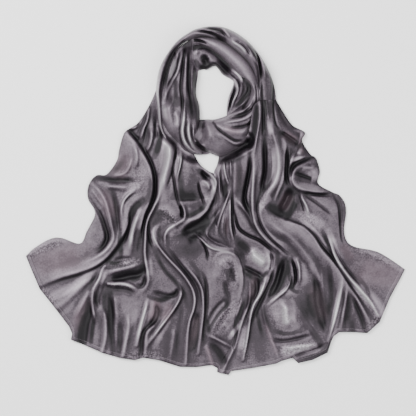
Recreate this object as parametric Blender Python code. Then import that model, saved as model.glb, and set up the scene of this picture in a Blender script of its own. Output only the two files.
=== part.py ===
"""A plain satin scarf laid out flat: one long panel wound into a neck ring with both ends fanned out below.

The scarf lies on the floor, +Z up and +Y towards the top of the ring. The plan is drawn on squares of
2 mm, counted to the right and downwards from its top left corner. Each stretch of the cloth that shows is
one closed solid, lofted through sections that are worked out from its edges and from a table of its folds.
"""

from typing import NamedTuple

import bpy
import numpy as np

MM = 0.001
SQUARE = 2.0 * MM
# The plan square that lies at the frame's origin
PLAN_CENTRE = (215.4, 200.46)

# Cloth wall of the two ends, and the least thickness at the edge of a wound stretch
WALL = 2.5 * MM
BAND_EDGE = 2.2 * MM
# Distance left between neighbouring stretches
SEAM = 0.3 * MM
# A fold's slope is never shorter than this, so that each one spans a whole cell of the sections
LEAST_SLOPE = 9.0 * MM
# How softly cloth meets the floor, and how far that blend is pressed down so that it touches
FLOOR_BLEND = 2.4 * MM
FLOOR_PRESS = 0.5 * MM

# Cells of an end across it and down it
END_COLUMNS = 46
END_ROWS = 27
# Where the rows of an end lie along its sides: the first one just clears the stretch above it
SEAM_MARKS = np.concatenate([[0.0, 0.02], np.linspace(0.05, 1.0, END_ROWS - 1)])
# The same for the short side at the lower hole, and that side's share of the right end's length
HOLE_MARKS = np.array([0.0, 0.22, 0.6, 1.0])
HOLE_SHARE = 0.075
# Rounds of averaging that even out the cells between an end's four edges
RELAXING_ROUNDS = 2
BAND_COLUMNS = 8

SATIN_COLOUR = (0.222, 0.198, 0.224, 1.0)
SATIN_ROUGHNESS = 0.38


class Fold(NamedTuple):
    """One fold: a ridge if it rises and a groove if it sinks.

    Rise and the widths of the two slopes are in millimetres. Left is the slope on the plan's left when the
    path runs down the plan. Start and end are the shares of the rise that are left at the path's two ends.
    """

    name: str
    rise: float
    left: float
    right: float
    start: float
    end: float
    path: tuple


class Zone(NamedTuple):
    """A place held at one level: millimetres from the floor, within a reach of a path on the plan."""

    name: str
    level: float
    reach: float
    path: tuple


# Edges on the plan, each from its upper to its lower end, or from left to right

LEFT_OUTLINE = (
    (157, 88), (149, 106), (138, 123), (126, 131), (122, 139), (119, 150.6), (116.7, 161), (106.8, 174.3),
    (97.6, 175), (91.5, 180), (87.7, 189), (88.4, 199.6), (94, 209), (94.5, 216.5), (87, 231), (80, 243.5),
    (62, 238), (50, 239), (34.5, 248), (26, 256),
)
LEFT_TUCK = (
    (157, 88), (162, 99), (164, 112), (166.5, 123), (173, 132), (180.5, 141.5), (188, 148.5),
    (192.5, 152), (196, 158), (200, 164.5), (206.5, 170), (213.8, 173.5),
)
LEFT_HEM = (
    (26, 256), (32, 270.6), (40, 289), (56, 309), (69, 326), (72.3, 333.5), (71, 339.5), (87.5, 346),
    (103.5, 353), (119, 357.5), (134.8, 360), (143.5, 357.5), (159, 360), (180, 366.7), (196, 367),
    (212, 365), (217.5, 368),
)
MIDDLE_SEAM = (
    (213.8, 173.5), (217, 184), (217, 195), (215.5, 207), (215, 219), (218.5, 231), (225, 241.5),
    (232, 250.5), (238.5, 260.5), (242.5, 272), (243, 286), (240, 301), (236, 314), (233.5, 328),
    (231.5, 343), (225, 356), (217.5, 368),
)
HOLE_SIDE = ((219, 153), (218.6, 158), (217, 165), (213.8, 173.5))
RIGHT_TUCK = (
    (219, 153), (228, 149), (236, 145), (242, 142.5), (246, 145.5), (249, 141), (250.5, 133), (251.5, 118),
    (253.5, 106), (260, 101), (268, 100.2), (276, 100),
)
RIGHT_OUTLINE = (
    (276, 100), (283, 112), (292, 125), (304.8, 132.5), (302, 141), (310, 154), (315.6, 158), (319.7, 171),
    (318, 183.5), (332, 192), (339, 195), (344.6, 203), (346, 213), (344, 230), (347, 241.5), (355.5, 247),
    (371, 250), (380, 253), (391.6, 260), (404.8, 269.3),
)
RIGHT_HEM = (
    (217.5, 368), (217, 372), (228.5, 374.8), (231, 371), (254.7, 367.5), (276, 363.5), (281, 361),
    (292.5, 357.5), (298, 363), (313, 359.5), (327.5, 352.4), (331, 341.6), (333.6, 336), (339, 332),
    (354, 332), (367, 333), (379.4, 322), (390, 297), (400.5, 278), (404.8, 269.3),
)

TOP_OUTER = (
    (156.6, 99), (156, 91.5), (158, 75), (162, 63), (170, 50), (178, 40.6), (188, 33.5), (197, 29),
    (212, 26.5), (228, 29), (247, 41), (262.7, 60), (273, 82), (276, 99.6),
)
TOP_INNER = (
    (162, 98), (163, 88), (166, 72), (172, 57), (178, 48), (184, 43.5), (192, 42), (196, 42.5),
    (207, 45.5), (221, 56), (233, 68), (246, 80), (257, 89), (258.5, 99.8),
)
LEFT_BAND_OUTER = (
    (172, 52), (166, 66), (162.5, 84), (160.8, 98), (160.5, 108), (163, 122), (168.7, 133), (178, 142),
    (183, 149), (191.7, 153.5), (200, 155), (209, 154),
)
LEFT_BAND_INNER = (
    (194, 38), (193, 50), (194, 62), (198, 71), (196.4, 86.5), (196.4, 96), (199.3, 106), (199.8, 118),
    (199, 127), (196.5, 132.5), (194.3, 137), (196, 141), (202.5, 144.6), (209, 150),
)
FRONT_UPPER = (
    (192, 120), (199.8, 120), (207, 119.4), (215, 119.5), (226, 116), (234, 111), (242, 104), (248.5, 96),
    (248, 88), (246, 78),
)
FRONT_LOWER = (
    (191, 130), (196.5, 137), (202, 144.5), (209, 151.2), (219.4, 156.4), (228, 153), (238, 147.5),
    (245, 143), (251, 135), (257, 122), (260.5, 106), (258, 86),
)
BACK_INNER = (
    (191.5, 76), (198, 71), (204, 69.5), (207, 69.8), (214.6, 66.2), (218.4, 69.3), (223, 75), (232, 80),
    (233.3, 84.6), (229, 96), (227, 106), (226.5, 119),
)
BACK_OUTER = (
    (188, 50), (193, 43.5), (202, 40.5), (212, 43), (221, 50), (231, 58), (241, 69), (249, 79),
    (252, 89), (248, 100), (241, 110), (236, 120),
)

# Folds of the left end, from the neck ring to the hem

LEFT_FOLDS = (
    Fold("lapel edge", 8, 34, 5, 0.5, 0, ((126, 131), (133, 142), (140, 150), (146, 158), (152, 170))),
    Fold("lapel foot", -7, 4, 14, 0.6, 0.3, ((129, 131), (137, 144), (144, 152), (151, 163), (154, 178))),
    Fold("lapel crest", 5, 6, 5, 0, 0, ((133, 146), (137, 157), (136, 167))),
    Fold("lapel hollow", -6, 9, 9, 0.5, 0.5, ((124, 160), (124, 173))),
    Fold("first gather", 7, 6, 6, 0.5, 0, ((149, 112), (147, 124), (142, 134), (141, 145))),
    Fold("second gather", 8, 6, 7, 0.5, 0, ((155, 118), (152, 131), (150, 141), (147, 152))),
    Fold("gather shade", -6, 8, 7, 0.3, 0, ((146, 118), (140, 128), (137, 138), (141, 149))),
    Fold("gather hollow", -6, 6, 6, 0, 0, ((156, 126), (156, 138), (152, 149))),
    Fold("main valley", -9, 14, 7, 0, 0, (
        (146, 155), (152, 167), (154.5, 181), (153.5, 196), (147.5, 209), (141, 225), (138, 240),
        (136, 250))),
    Fold("main ridge", 12, 4, 22, 0, 0, (
        (156, 158), (158.5, 172), (158.8, 187), (156.5, 200), (149, 213), (144.5, 226), (143.5, 243),
        (145, 260), (147.5, 280), (143, 290))),
    Fold("broad ridge", 13, 18, 10, 0.6, 0, (
        (158, 118), (162, 131), (168, 139), (170, 152), (168, 168), (164, 184), (164, 198))),
    Fold("strap groove", -11, 6, 5, 0, 0, (
        (160, 126), (167, 135), (174, 142), (175.5, 152), (173.5, 168), (175.5, 180), (176, 196),
        (178.5, 208), (181.5, 216))),
    Fold("strap ridge", 9, 4, 10, 0.5, 0, ((179, 142), (180, 152), (179, 165), (177.5, 182))),
    Fold("plain panel", 6, 22, 22, 0, 0, ((190, 156), (188, 175), (189, 195), (191, 212))),
    Fold("hook rim", 7, 4, 12, 0, 0, ((178, 200), (181, 205), (184.5, 212), (183.5, 218), (179, 222))),
    Fold("panel lap", 9, 4, 18, 0, 0, (
        (178, 230), (184, 225), (192, 221.5), (200, 219), (206, 212), (211, 205))),
    Fold("big pocket", -12, 16, 13, 0, 0, ((180, 234), (190, 232), (200, 230), (207, 224))),
    Fold("inner rim", 9, 10, 5, 0.3, 0, (
        (199, 166), (207, 170), (214, 175), (217, 182), (216, 192), (213, 202), (206, 211))),
    Fold("inner crease", -7, 5, 5, 0, 0, ((199, 181), (200, 191), (203, 201), (206, 209))),
    Fold("tongue lap", 9, 24, 4, 0, 0.2, (
        (146, 197), (137, 200), (131, 204), (128.5, 212), (127, 225), (121.5, 239), (112, 251), (101, 261),
        (88, 268), (72, 276), (52, 284))),
    Fold("tongue valley", -8, 5, 15, 0, 0.3, (
        (145, 201), (136, 206), (131, 215), (128.5, 230), (122, 245), (112, 256), (101, 264), (86, 271),
        (66, 279.5), (41, 290))),
    Fold("tongue crest", 5, 6, 6, 0, 0, ((135, 189), (126, 198), (121.5, 209), (123.5, 221), (124, 232))),
    Fold("middle ridge", 8, 13, 10, 0, 0, ((143, 205), (137, 218), (133, 232), (130, 246), (127, 260))),
    Fold("middle groove", -8, 7, 6, 0, 0, ((141, 226), (139.5, 240), (139, 252), (142, 264))),
    Fold("pinched ridge", 10, 5, 8, 0, 0, (
        (104, 264), (101, 274), (98, 284), (93.5, 293), (92, 304), (94, 315), (97, 326))),
    Fold("pocket brow", 8, 4, 11, 0, 0, ((104, 274), (113, 271), (124, 269), (136, 267.5), (144, 263))),
    Fold("cross pocket", -11, 7, 5, 0, 0, ((106, 280), (118, 277.5), (130, 277), (141, 276), (146, 268))),
    Fold("pocket lip", 8, 6, 4, 0, 0, (
        (106, 284), (118, 284), (129, 285.5), (135, 289), (140, 291), (145, 287), (147.3, 279))),
    Fold("side ridge", 7, 10, 8, 0.4, 0, (
        (92, 184), (99, 192), (105, 201), (109, 213), (112, 226), (113.5, 238), (109, 247), (101, 255),
        (90, 262))),
    Fold("side valley", -7, 6, 9, 0.2, 0, (
        (88, 197), (94, 206), (100, 215), (105, 226), (108, 238), (104, 248), (95, 252))),
    Fold("flank valley", -6, 8, 7, 0, 0, ((113, 187), (116, 200), (117, 215), (119, 230), (121, 238))),
    Fold("elbow crease", -4, 6, 8, 0.3, 0, ((92, 179), (103, 178.5), (115, 180), (127, 181), (137, 184))),
    Fold("corner ray", 5, 14, 4, 0, 0.8, ((102, 268), (88, 282), (75, 294), (61, 306))),
    Fold("dark bay", -8, 13, 11, 0, 0.7, ((92, 290), (88, 306), (83, 322), (81, 340))),
    Fold("bay groove", -6, 7, 9, 0, 0, ((105, 282), (99, 293), (97, 305), (100, 318))),
    Fold("hem ridge one", 6, 8, 8, 0, 0.8, ((101, 306), (105, 316), (106, 330), (104, 350))),
    Fold("hem valley one", -6, 7, 8, 0, 0.8, ((109, 294), (112, 312), (111, 330), (112, 354))),
    Fold("hem ridge two", 6, 13, 13, 0, 0.8, ((128, 296), (128, 315), (127, 335), (125, 356))),
    Fold("hem ridge three", 9, 6, 6, 0, 0.7, ((149, 298), (144, 313), (140, 325), (137, 338), (135, 356))),
    Fold("pink hollow", -8, 8, 8, 0, 0, ((156, 294), (157, 308), (152, 320), (145, 330))),
    Fold("hem notch", -8, 4, 5, 0.3, 0.7, ((148, 326), (143.5, 334), (142.5, 343), (143, 356))),
    Fold("notch lap", 6, 4, 13, 0.2, 0.6, ((157, 323), (149, 329), (145.5, 335), (145.5, 345), (145, 357))),
    Fold("curled ridge", 9, 11, 6, 0, 0, (
        (174, 279), (180, 287), (182, 294), (179, 303), (173, 312), (165, 322), (158, 333), (149, 346))),
    Fold("curl shade", -5, 6, 6, 0, 0, ((177, 290), (168, 293), (155, 293))),
    Fold("long ridge", 11, 6, 5, 0, 0.7, (
        (157, 224), (154, 232), (155.5, 240), (161, 248.5), (169, 259), (179, 271), (188, 282), (195, 293),
        (196, 304), (192, 316), (189, 330), (187, 346), (186, 364))),
    Fold("long inner groove", -9, 6, 6, 0, 0, (
        (149, 220), (148.5, 234), (153, 248), (161, 261), (168, 276))),
    Fold("long outer groove", -10, 5, 6, 0, 0, (
        (160, 226), (163.5, 236), (166, 248), (175, 261), (187, 274), (196, 286), (200, 299), (200, 312))),
    Fold("twin ridge", 8, 4, 5, 0, 0.6, (
        (181, 262), (190, 271), (198, 281), (202, 292), (203, 305), (202, 320), (200, 336), (197, 354))),
    Fold("twin groove", -8, 4, 6, 0, 0.3, (
        (195, 260), (202, 274), (205, 287), (206.5, 300), (206, 315), (204, 330), (204, 346))),
    Fold("hem wedge", -8, 6, 5, 0, 0.5, ((199, 312), (196, 322), (193, 335), (191, 352))),
    Fold("curl hook", 8, 4, 13, 0, 0, ((177, 226), (169, 230), (165, 236), (164.5, 244), (168, 252))),
    Fold("spit ridge", 7, 6, 6, 0, 0, ((193, 232), (200, 240), (206, 247), (213, 254))),
    Fold("spit groove", -8, 4, 5, 0, 0, ((192, 237), (200, 243), (205, 251), (208, 263))),
    Fold("bulge ring", 7, 7, 7, 0.2, 0.3, (
        (214, 264), (219, 254), (229, 252), (238, 258), (242, 270), (243, 284), (240, 298), (233, 304))),
    Fold("bulge groove", -8, 5, 7, 0, 0, ((221, 283), (224, 295), (228, 306))),
    Fold("ribbon lap", 9, 4, 16, 0.3, 0.3, (
        (240, 298), (234, 306), (228, 311), (219, 320), (212, 328), (208.5, 335.5))),
    Fold("ribbon hem", 7, 4, 10, 0.3, 0.5, ((208.5, 335.5), (218, 340), (230, 347.5))),
    Fold("corner hollow", -6, 9, 8, 0.3, 0.6, ((211, 344), (218, 354), (221, 366))),
)

# Folds of the right end, from the neck ring to the hem

RIGHT_FOLDS = (
    Fold("inner gather", 6, 5, 5, 0, 0, ((225, 162), (223.5, 172), (226, 182), (229, 192))),
    Fold("inner groove", -7, 5, 6, 0, 0, ((217, 178), (221, 192), (222, 206))),
    Fold("left rib", 7, 5, 5, 0, 0, ((231, 188), (225, 205), (220, 218), (215, 236))),
    Fold("rib groove", -7, 4, 4, 0, 0, ((226, 211), (225, 227), (224, 242))),
    Fold("right rib", 6, 5, 5, 0, 0, ((230, 198), (229, 215), (230, 230), (236, 250))),
    Fold("pocket rim", 6, 5, 4, 0, 0.2, (
        (223, 203), (217, 215), (210, 226), (208, 233), (209, 238), (216, 242), (226, 245.5), (233, 250))),
    Fold("upright crease", -6, 4, 4, 0, 0, ((232, 190), (232, 208), (234, 224), (237, 240))),
    Fold("leaf dome", 7, 8, 8, 0, 0, ((234, 202), (239, 213), (245, 223), (253, 231))),
    Fold("leaf crease", -8, 5, 5, 0, 0, (
        (233, 207), (235, 219), (240, 228), (250, 234), (260, 240), (269, 249), (279, 258))),
    Fold("first panel", 7, 12, 12, 0.3, 0, ((241, 156), (240, 175), (238, 194))),
    Fold("first valley", -10, 7, 5, 0, 0, ((250, 148), (250, 168), (247, 185), (245, 200), (249, 216))),
    Fold("first ridge", 9, 5, 8, 0, 0, (
        (256, 146), (254, 165), (252, 182), (251.5, 200), (253, 215), (258, 230), (267, 241), (280, 252),
        (292, 263))),
    Fold("second valley", -9, 7, 8, 0, 0, (
        (265, 132), (265, 155), (265, 170), (262, 186), (258.5, 198), (257.5, 213), (262, 227), (270, 238),
        (282, 249), (293, 258))),
    Fold("tube ridge", 14, 10, 11, 0, 0, (
        (269, 116), (273, 140), (277, 155), (279, 170), (274, 184), (266, 194), (262, 204), (263, 218))),
    Fold("wedge hollow", -14, 11, 12, 0, 0, ((290, 190), (284, 203), (278, 213))),
    Fold("long lap", 11, 28, 4, 0.2, 0.2, (
        (270, 211), (282, 218.5), (291, 222.5), (303, 228), (313, 237), (321, 249), (331, 261), (339, 273),
        (348, 286), (357, 298), (366, 310))),
    Fold("lap shade", -7, 4, 11, 0, 0, ((303, 225), (315, 236), (323, 248), (332, 260), (340, 271))),
    Fold("slope ridge", 8, 11, 11, 0, 0, (
        (265, 215), (276, 227), (290, 237), (302, 250), (311, 264), (316, 280))),
    Fold("long hollow", -9, 10, 8, 0, 0, ((313, 266), (317, 285), (318, 302), (322, 318), (326, 336))),
    Fold("curled rim", 9, 4, 9, 0.5, 0, (
        (303, 132), (300, 141), (296, 152), (291, 163), (289, 176), (292, 186), (297, 191))),
    Fold("corner shade", -6, 8, 6, 0, 0.3, ((281, 130), (290, 137), (298, 143))),
    Fold("outer valley", -11, 5, 6, 0, 0, ((286, 146), (285.5, 162), (285.5, 180), (289, 188))),
    Fold("loop lap", 9, 4, 15, 0.5, 0.3, (
        (314, 158), (305, 162), (296, 167), (292, 173), (291.5, 181), (296, 188), (305, 191.5), (320, 192.5),
        (334, 191))),
    Fold("loop slot", -10, 5, 5, 0, 0, ((293, 173), (300, 175.5), (311, 179))),
    Fold("loop shade", -9, 5, 5, 0, 0.3, ((290, 170), (298, 162.5), (312, 157))),
    Fold("ray groove", -6, 4, 4, 0, 0, ((297, 191), (300, 201), (304, 213))),
    Fold("ray ridge", 7, 4, 5, 0, 0, ((299, 196), (305, 206), (309, 217))),
    Fold("left ray", 6, 5, 5, 0, 0, ((297, 192), (296, 205), (292, 219))),
    Fold("long ray", -5, 5, 5, 0, 0, ((301, 193), (311, 200), (322, 208), (335, 218))),
    Fold("edge crease", -5, 4, 4, 0, 0, ((333, 193), (339, 206), (341, 222), (342, 238), (344, 247))),
    Fold("leaf ridge", 12, 6, 6, 0, 0.5, (
        (327, 230), (330, 242), (334, 256), (340, 267), (350, 280), (360, 291), (370, 302), (378, 316))),
    Fold("twin one", 8, 5, 5, 0, 0.4, ((341, 272), (338, 288), (335, 304), (331, 320), (326, 342))),
    Fold("twin two", 7, 4, 5, 0, 0.4, ((345, 283), (343, 297), (340, 312), (338, 330))),
    Fold("twin shade", -6, 5, 7, 0, 0.5, ((349, 288), (350, 305), (346, 330))),
    Fold("corner crease", -5, 5, 7, 0, 0.5, ((350, 291), (356, 306), (361, 318), (365, 331))),
    Fold("hem diagonal", 6, 15, 6, 0, 0.3, ((289, 292), (297, 306), (308, 324), (320, 339), (325, 350))),
    Fold("slot", -9, 4, 4, 0, 0, ((291, 257), (295, 268), (296, 280), (293, 289))),
    Fold("slot rim", 7, 4, 5, 0, 0.2, ((290, 266), (288, 280), (285, 290), (277, 297), (268, 305))),
    Fold("slot edge", 6, 4, 6, 0, 0, ((296, 257), (299, 270), (299, 286))),
    Fold("deep bay", -12, 9, 8, 0, 0, ((284, 256), (279, 272), (274, 286), (266, 301))),
    Fold("hem bulge", 8, 14, 13, 0, 0, ((289, 297), (287, 315), (289, 333))),
    Fold("hem shine", 4, 8, 8, 0, 0.3, ((281, 350), (295, 347), (310, 346), (322, 343))),
    Fold("round bulge", 9, 14, 12, 0, 0, ((249, 250), (260, 256), (268, 264))),
    Fold("bulge shade", -8, 6, 5, 0, 0, ((243, 266), (255, 273), (263, 279))),
    Fold("narrow bay", -9, 6, 6, 0, 0, ((256, 276), (257, 290), (253, 302), (249, 314))),
    Fold("narrow ridge", 10, 5, 5, 0, 0.5, (
        (268, 271), (264, 284), (260, 294), (254, 304), (251, 314), (249, 326), (247, 340), (243, 360))),
    Fold("narrow shade", -9, 4, 7, 0, 0, (
        (275, 260), (273, 275), (268, 288), (262, 300), (256, 312), (253, 326))),
    Fold("hem line", 5, 4, 4, 0, 0.6, ((262, 300), (264, 318), (270, 336), (276, 352), (279, 362))),
    Fold("tip strip", 6, 5, 6, 0, 0.6, (
        (249, 268), (250, 290), (249, 304), (243, 318), (238, 332), (233, 348), (226, 362), (222, 373))),
)

# Pleats of the wound stretches

TOP_FOLDS = (
    Fold("outer pleat", -7, 5, 8, 0, 0, (
        (190, 36), (200, 33), (212, 34.5), (222, 40), (232, 47), (242, 55), (251, 64), (256, 74))),
    Fold("front pleat", -5, 5, 6, 0, 0, ((192, 41), (199, 37.5), (210, 37), (221, 40))),
    Fold("crown shade", -6, 6, 6, 0, 0, ((192, 31), (205, 29.5), (219, 31), (226, 37))),
    Fold("shoulder ridge", 6, 6, 7, 0, 0, ((222, 31), (231, 40), (241, 49), (251, 60))),
    Fold("side crease", -9, 5, 5, 0, 0.4, ((255, 50), (259, 62), (261, 76), (262, 92), (262, 101))),
    Fold("side ridge", 5, 6, 6, 0, 0.6, ((262, 62), (267, 76), (269, 90), (270, 101))),
)
LEFT_BAND_FOLDS = (
    Fold("first pleat", 5, 6, 6, 0, 0, ((176, 54), (172.5, 67), (169, 82))),
    Fold("second pleat", 5, 5, 6, 0, 0, ((182, 50), (178, 67), (169, 86), (163.5, 100))),
    Fold("pleat groove", -5, 5, 5, 0, 0, ((178, 58), (174, 76), (166, 94))),
    Fold("third pleat", 5, 5, 5, 0, 0, ((186, 46), (183, 77), (183, 106), (183, 125), (188, 144))),
    Fold("deep pleat", -7, 5, 5, 0, 0, ((181, 88), (183, 100), (181.5, 115), (181, 132))),
    Fold("front bulge", 6, 14, 12, 0, 0, ((170, 100), (171, 118), (175, 132))),
    Fold("inner pleat", 6, 5, 5, 0, 0.2, ((187, 90), (190, 108), (190.5, 125), (190, 139), (195, 150))),
    Fold("inner groove", -6, 5, 5, 0, 0, ((187, 106), (186.5, 125), (188, 138), (193, 150))),
)
FRONT_FOLDS = (
    Fold("cross crease", -6, 5, 6, 0, 0, ((213, 122), (223, 132), (234, 140), (242, 141.5), (248, 139))),
    Fold("lens groove", -6, 5, 5, 0, 0, ((230, 126.5), (245, 126.5), (254, 120))),
    Fold("lens ridge", 5, 5, 5, 0, 0, ((222, 121), (236, 119), (248, 115), (256, 106))),
    Fold("corner groove", -7, 5, 5, 0, 0, ((228, 118), (238, 113), (245, 106), (249, 97))),
    Fold("front bulge", 5, 20, 16, 0, 0, ((205, 128), (217, 138), (228, 147))),
)
BACK_FOLDS = (
    Fold("round hollow", -8, 9, 9, 0.6, 0.6, ((204, 58), (206, 62))),
    Fold("shadow run", -7, 8, 8, 0, 0, ((217, 56), (224, 66), (230, 74))),
    Fold("bright curl", 6, 5, 5, 0, 0, ((235, 71), (240, 76), (243, 83))),
    Fold("light strip", 5, 4, 5, 0, 0, ((234, 80), (236.6, 91), (231, 109))),
    Fold("dark strip", -7, 5, 6, 0, 0, ((246, 80), (246, 92), (239, 101), (232, 110))),
)

# Hidden margins pressed flat under a neighbour, and the levels at which a stretch rests on one

LEFT_PRESSED = (
    Zone("under the left stretch", 4.0, 11, (
        (157, 86), (160, 94), (162, 104), (165, 120), (171, 131), (180, 140), (186, 147), (195, 153))),
)
RIGHT_PRESSED = (
    Zone("under the front stretch", 4.0, 10, ((219, 153), (228, 150), (238, 145), (243.5, 144))),
)
RIGHT_LIFTED = (
    Zone("over the front stretch", 18.0, 12, ((251, 131), (252.5, 118), (254, 104), (262, 98))),
)
LEFT_BAND_PRESSED = (
    Zone("under the rim", 8.0, 8, ((162, 100), (162.5, 86), (167, 67), (170, 58))),
    Zone("under the top stretch", 12.0, 10, ((171, 54), (176, 47), (184, 42), (194, 38))),
    Zone("under the front stretch", 4.0, 6, ((200, 144), (205, 147.5), (211, 152))),
)
FRONT_PRESSED = (
    Zone("under the left stretch", 8.0, 15, ((194, 119), (194, 128), (194.5, 134))),
    Zone("under the top stretch", 12.0, 11, ((246, 78), (252, 81), (259, 86))),
    Zone("under the right end", 12.0, 11, ((260, 88), (260, 104), (257, 122), (250, 137))),
)
BACK_PRESSED = (
    Zone("under the top stretch", 8.0, 12, (
        (188, 50), (193, 43), (202, 41), (212, 44), (222, 53), (232, 62), (241, 71), (251, 83))),
    Zone("under the left stretch", 8.0, 12, ((188, 50), (190, 63), (192.5, 77))),
    Zone("under the front stretch", 8.0, 12, ((252, 86), (248, 99), (241, 109), (233, 118), (226, 119))),
)
TOP_RESTS = (
    Zone("on the others", 8.3, 20, (
        (162, 98), (163, 88), (166, 72), (172, 57), (178, 48), (184, 43.5), (192, 42), (207, 45.5),
        (221, 56), (233, 68), (246, 80), (257, 89), (258.5, 99.8))),
    Zone("on the left stretch", 12.3, 24, ((173, 52), (184, 42), (196, 40))),
    Zone("on the front stretch", 12.3, 24, ((247, 79), (257, 87), (260, 100))),
)
LEFT_BAND_RESTS = (
    Zone("on the left end", 4.3, 20, ((160, 94), (165, 120), (180, 140), (187, 146), (190, 149))),
    Zone("on the front stretch", 8.3, 19, ((195, 118), (195, 128), (193, 133))),
    Zone("on the back stretch", 8.3, 22, ((191, 40), (192, 63), (193, 77))),
)
FRONT_RESTS = (
    Zone("on both ends", 4.3, 20, ((198, 139), (209, 150), (219, 155), (228, 152), (240, 146))),
    Zone("on the back stretch", 8.3, 26, ((252, 84), (248, 99), (241, 109), (233, 116), (226, 117))),
)

# Crown heights along the wound stretches: share of the way along, and height over the floor

BACK_CROWN = ((0, 14), (0.3, 17), (1, 16))
FRONT_CROWN = ((0, 20), (0.3, 28), (0.7, 28), (1, 20))
LEFT_BAND_CROWN = ((0, 18), (0.25, 28), (0.8, 28), (1, 16))
TOP_CROWN = ((0, 16), (0.15, 22), (0.35, 34), (0.7, 37), (1, 26))


def smooth_path(path, steps=6):
    """Points of a smooth curve through the points of a path on the plan.

    Args:
        path: Plan points.
        steps: Points laid on each span of the path.

    Returns:
        An array of plan points with two columns.
    """
    knots = np.array(path, dtype=float)
    before = np.vstack([2 * knots[0] - knots[1], knots[:-1]])[:-1]
    after = np.vstack([knots[1:], 2 * knots[-1] - knots[-2]])[1:]
    share = np.linspace(0.0, 1.0, steps, endpoint=False)[:, None]
    spans = []
    for index in range(len(knots) - 1):
        start, end = knots[index], knots[index + 1]
        pull_in = (end - before[index]) / 2 if index else end - start
        pull_out = (after[index] - start) / 2 if index < len(knots) - 2 else end - start
        spans.append(
            (2 * share**3 - 3 * share**2 + 1) * start
            + (share**3 - 2 * share**2 + share) * pull_in
            + (-2 * share**3 + 3 * share**2) * end
            + (share**3 - share**2) * pull_out
        )
    return np.vstack(spans + [knots[-1:]])


def points_along(path, marks, keep_corners=False):
    """Points of a path on the plan at marks given as shares of its length."""
    curve = np.array(path, dtype=float) if keep_corners else smooth_path(path)
    run = np.concatenate([[0.0], np.cumsum(np.hypot(*np.diff(curve, axis=0).T))])
    return np.column_stack([np.interp(marks * run[-1], run, curve[:, axis]) for axis in (0, 1)])


def signed_distance(points, path):
    """Distance of plan points from a path, positive on its left side, and the share run along it."""
    curve = smooth_path(path)
    best = np.full(len(points), np.inf)
    side = np.ones(len(points))
    along = np.zeros(len(points))
    lengths = np.hypot(*np.diff(curve, axis=0).T)
    total = lengths.sum()
    done = 0.0
    for start, end, length in zip(curve[:-1], curve[1:], lengths):
        step = (end - start) / max(length, 1e-9)
        offset = points - start
        reach = np.clip(offset @ step, 0.0, length)
        gap = offset - reach[:, None] * step
        distance = np.hypot(gap[:, 0], gap[:, 1])
        closer = distance < best
        best = np.where(closer, distance, best)
        side = np.where(closer, np.sign(offset[:, 1] * step[0] - offset[:, 0] * step[1]), side)
        along = np.where(closer, (done + reach) / total, along)
        done += length
    return best * SQUARE, side, along


def ease(share):
    """Smooth step from 0 to 1."""
    share = np.clip(share, 0.0, 1.0)
    return share * share * (3.0 - 2.0 * share)


def fold_height(points, fold):
    """Height that one fold adds at each plan point, in metres."""
    distance, side, along = signed_distance(points, fold.path)
    left = max(fold.left * MM * 1.6, LEAST_SLOPE)
    right = max(fold.right * MM * 1.6, LEAST_SLOPE)
    width = np.where(side > 0, left, right)
    share = 1.0 - (1.0 - fold.start) * (1.0 - ease(along / 0.3))
    share = share - (1.0 - fold.end) * (1.0 - ease((1.0 - along) / 0.3))
    return fold.rise * MM * share * (1.0 - ease(distance / width))


def folded(points, folds):
    """Sum of all folds at each plan point, in metres."""
    return sum(fold_height(points, fold) for fold in folds)


def zone_share(points, zone):
    """How much a zone holds each plan point: 1 within its reach, falling to 0 over 14 mm beyond it."""
    distance, _, _ = signed_distance(points, zone.path)
    return 1.0 - ease((distance - zone.reach * MM) / (14.0 * MM))


def pressed(points, height, zones):
    """Heights with each pressed margin held down at its zone's level."""
    for zone in zones:
        share = zone_share(points, zone)
        height = np.where(height > zone.level * MM, height + (zone.level * MM - height) * share, height)
    return height


def lifted(points, height, zones):
    """Heights raised to each zone's level where they would be lower."""
    for zone in zones:
        share = zone_share(points, zone)
        height = np.where(height < zone.level * MM, height + (zone.level * MM - height) * share, height)
    return height


def rest_level(points, zones):
    """Level of a stretch's underside: the highest of the zones that it rests on."""
    level = np.zeros(len(points))
    for zone in zones:
        distance, _, _ = signed_distance(points, zone.path)
        level = np.where(distance < zone.reach * MM, np.maximum(level, zone.level * MM), level)
    return level


def patch(top, bottom, left, right, marks):
    """Plan points inside four edges: a Coons patch, relaxed, rows from the top edge to the bottom edge.

    Args:
        top: Points from the upper left corner to the upper right corner.
        bottom: As many points, from the lower left corner to the lower right corner.
        left: Points from the upper left corner to the lower left corner.
        right: As many points, from the upper right corner to the lower right corner.
        marks: Share of the way down at which each row lies.

    Returns:
        An array of rows, columns and two coordinates.
    """
    across = np.linspace(0.0, 1.0, len(top))[None, :, None]
    down = marks[:, None, None]
    ruled_down = (1 - down) * top[None] + down * bottom[None]
    ruled_across = (1 - across) * left[:, None] + across * right[:, None]
    corners = (
        (1 - down) * (1 - across) * top[0] + (1 - down) * across * top[-1]
        + down * (1 - across) * bottom[0] + down * across * bottom[-1]
    )
    plan = ruled_down + ruled_across - corners
    for _ in range(RELAXING_ROUNDS):
        plan[1:-1, 1:-1] = (
            plan[:-2, 1:-1] + plan[2:, 1:-1] + plan[1:-1, :-2] + plan[1:-1, 2:]
        ) / 4
    return plan


def in_metres(plan):
    """Frame x and y of plan points."""
    x = (plan[..., 0] - PLAN_CENTRE[0]) * SQUARE
    y = (PLAN_CENTRE[1] - plan[..., 1]) * SQUARE
    return x, y


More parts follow.
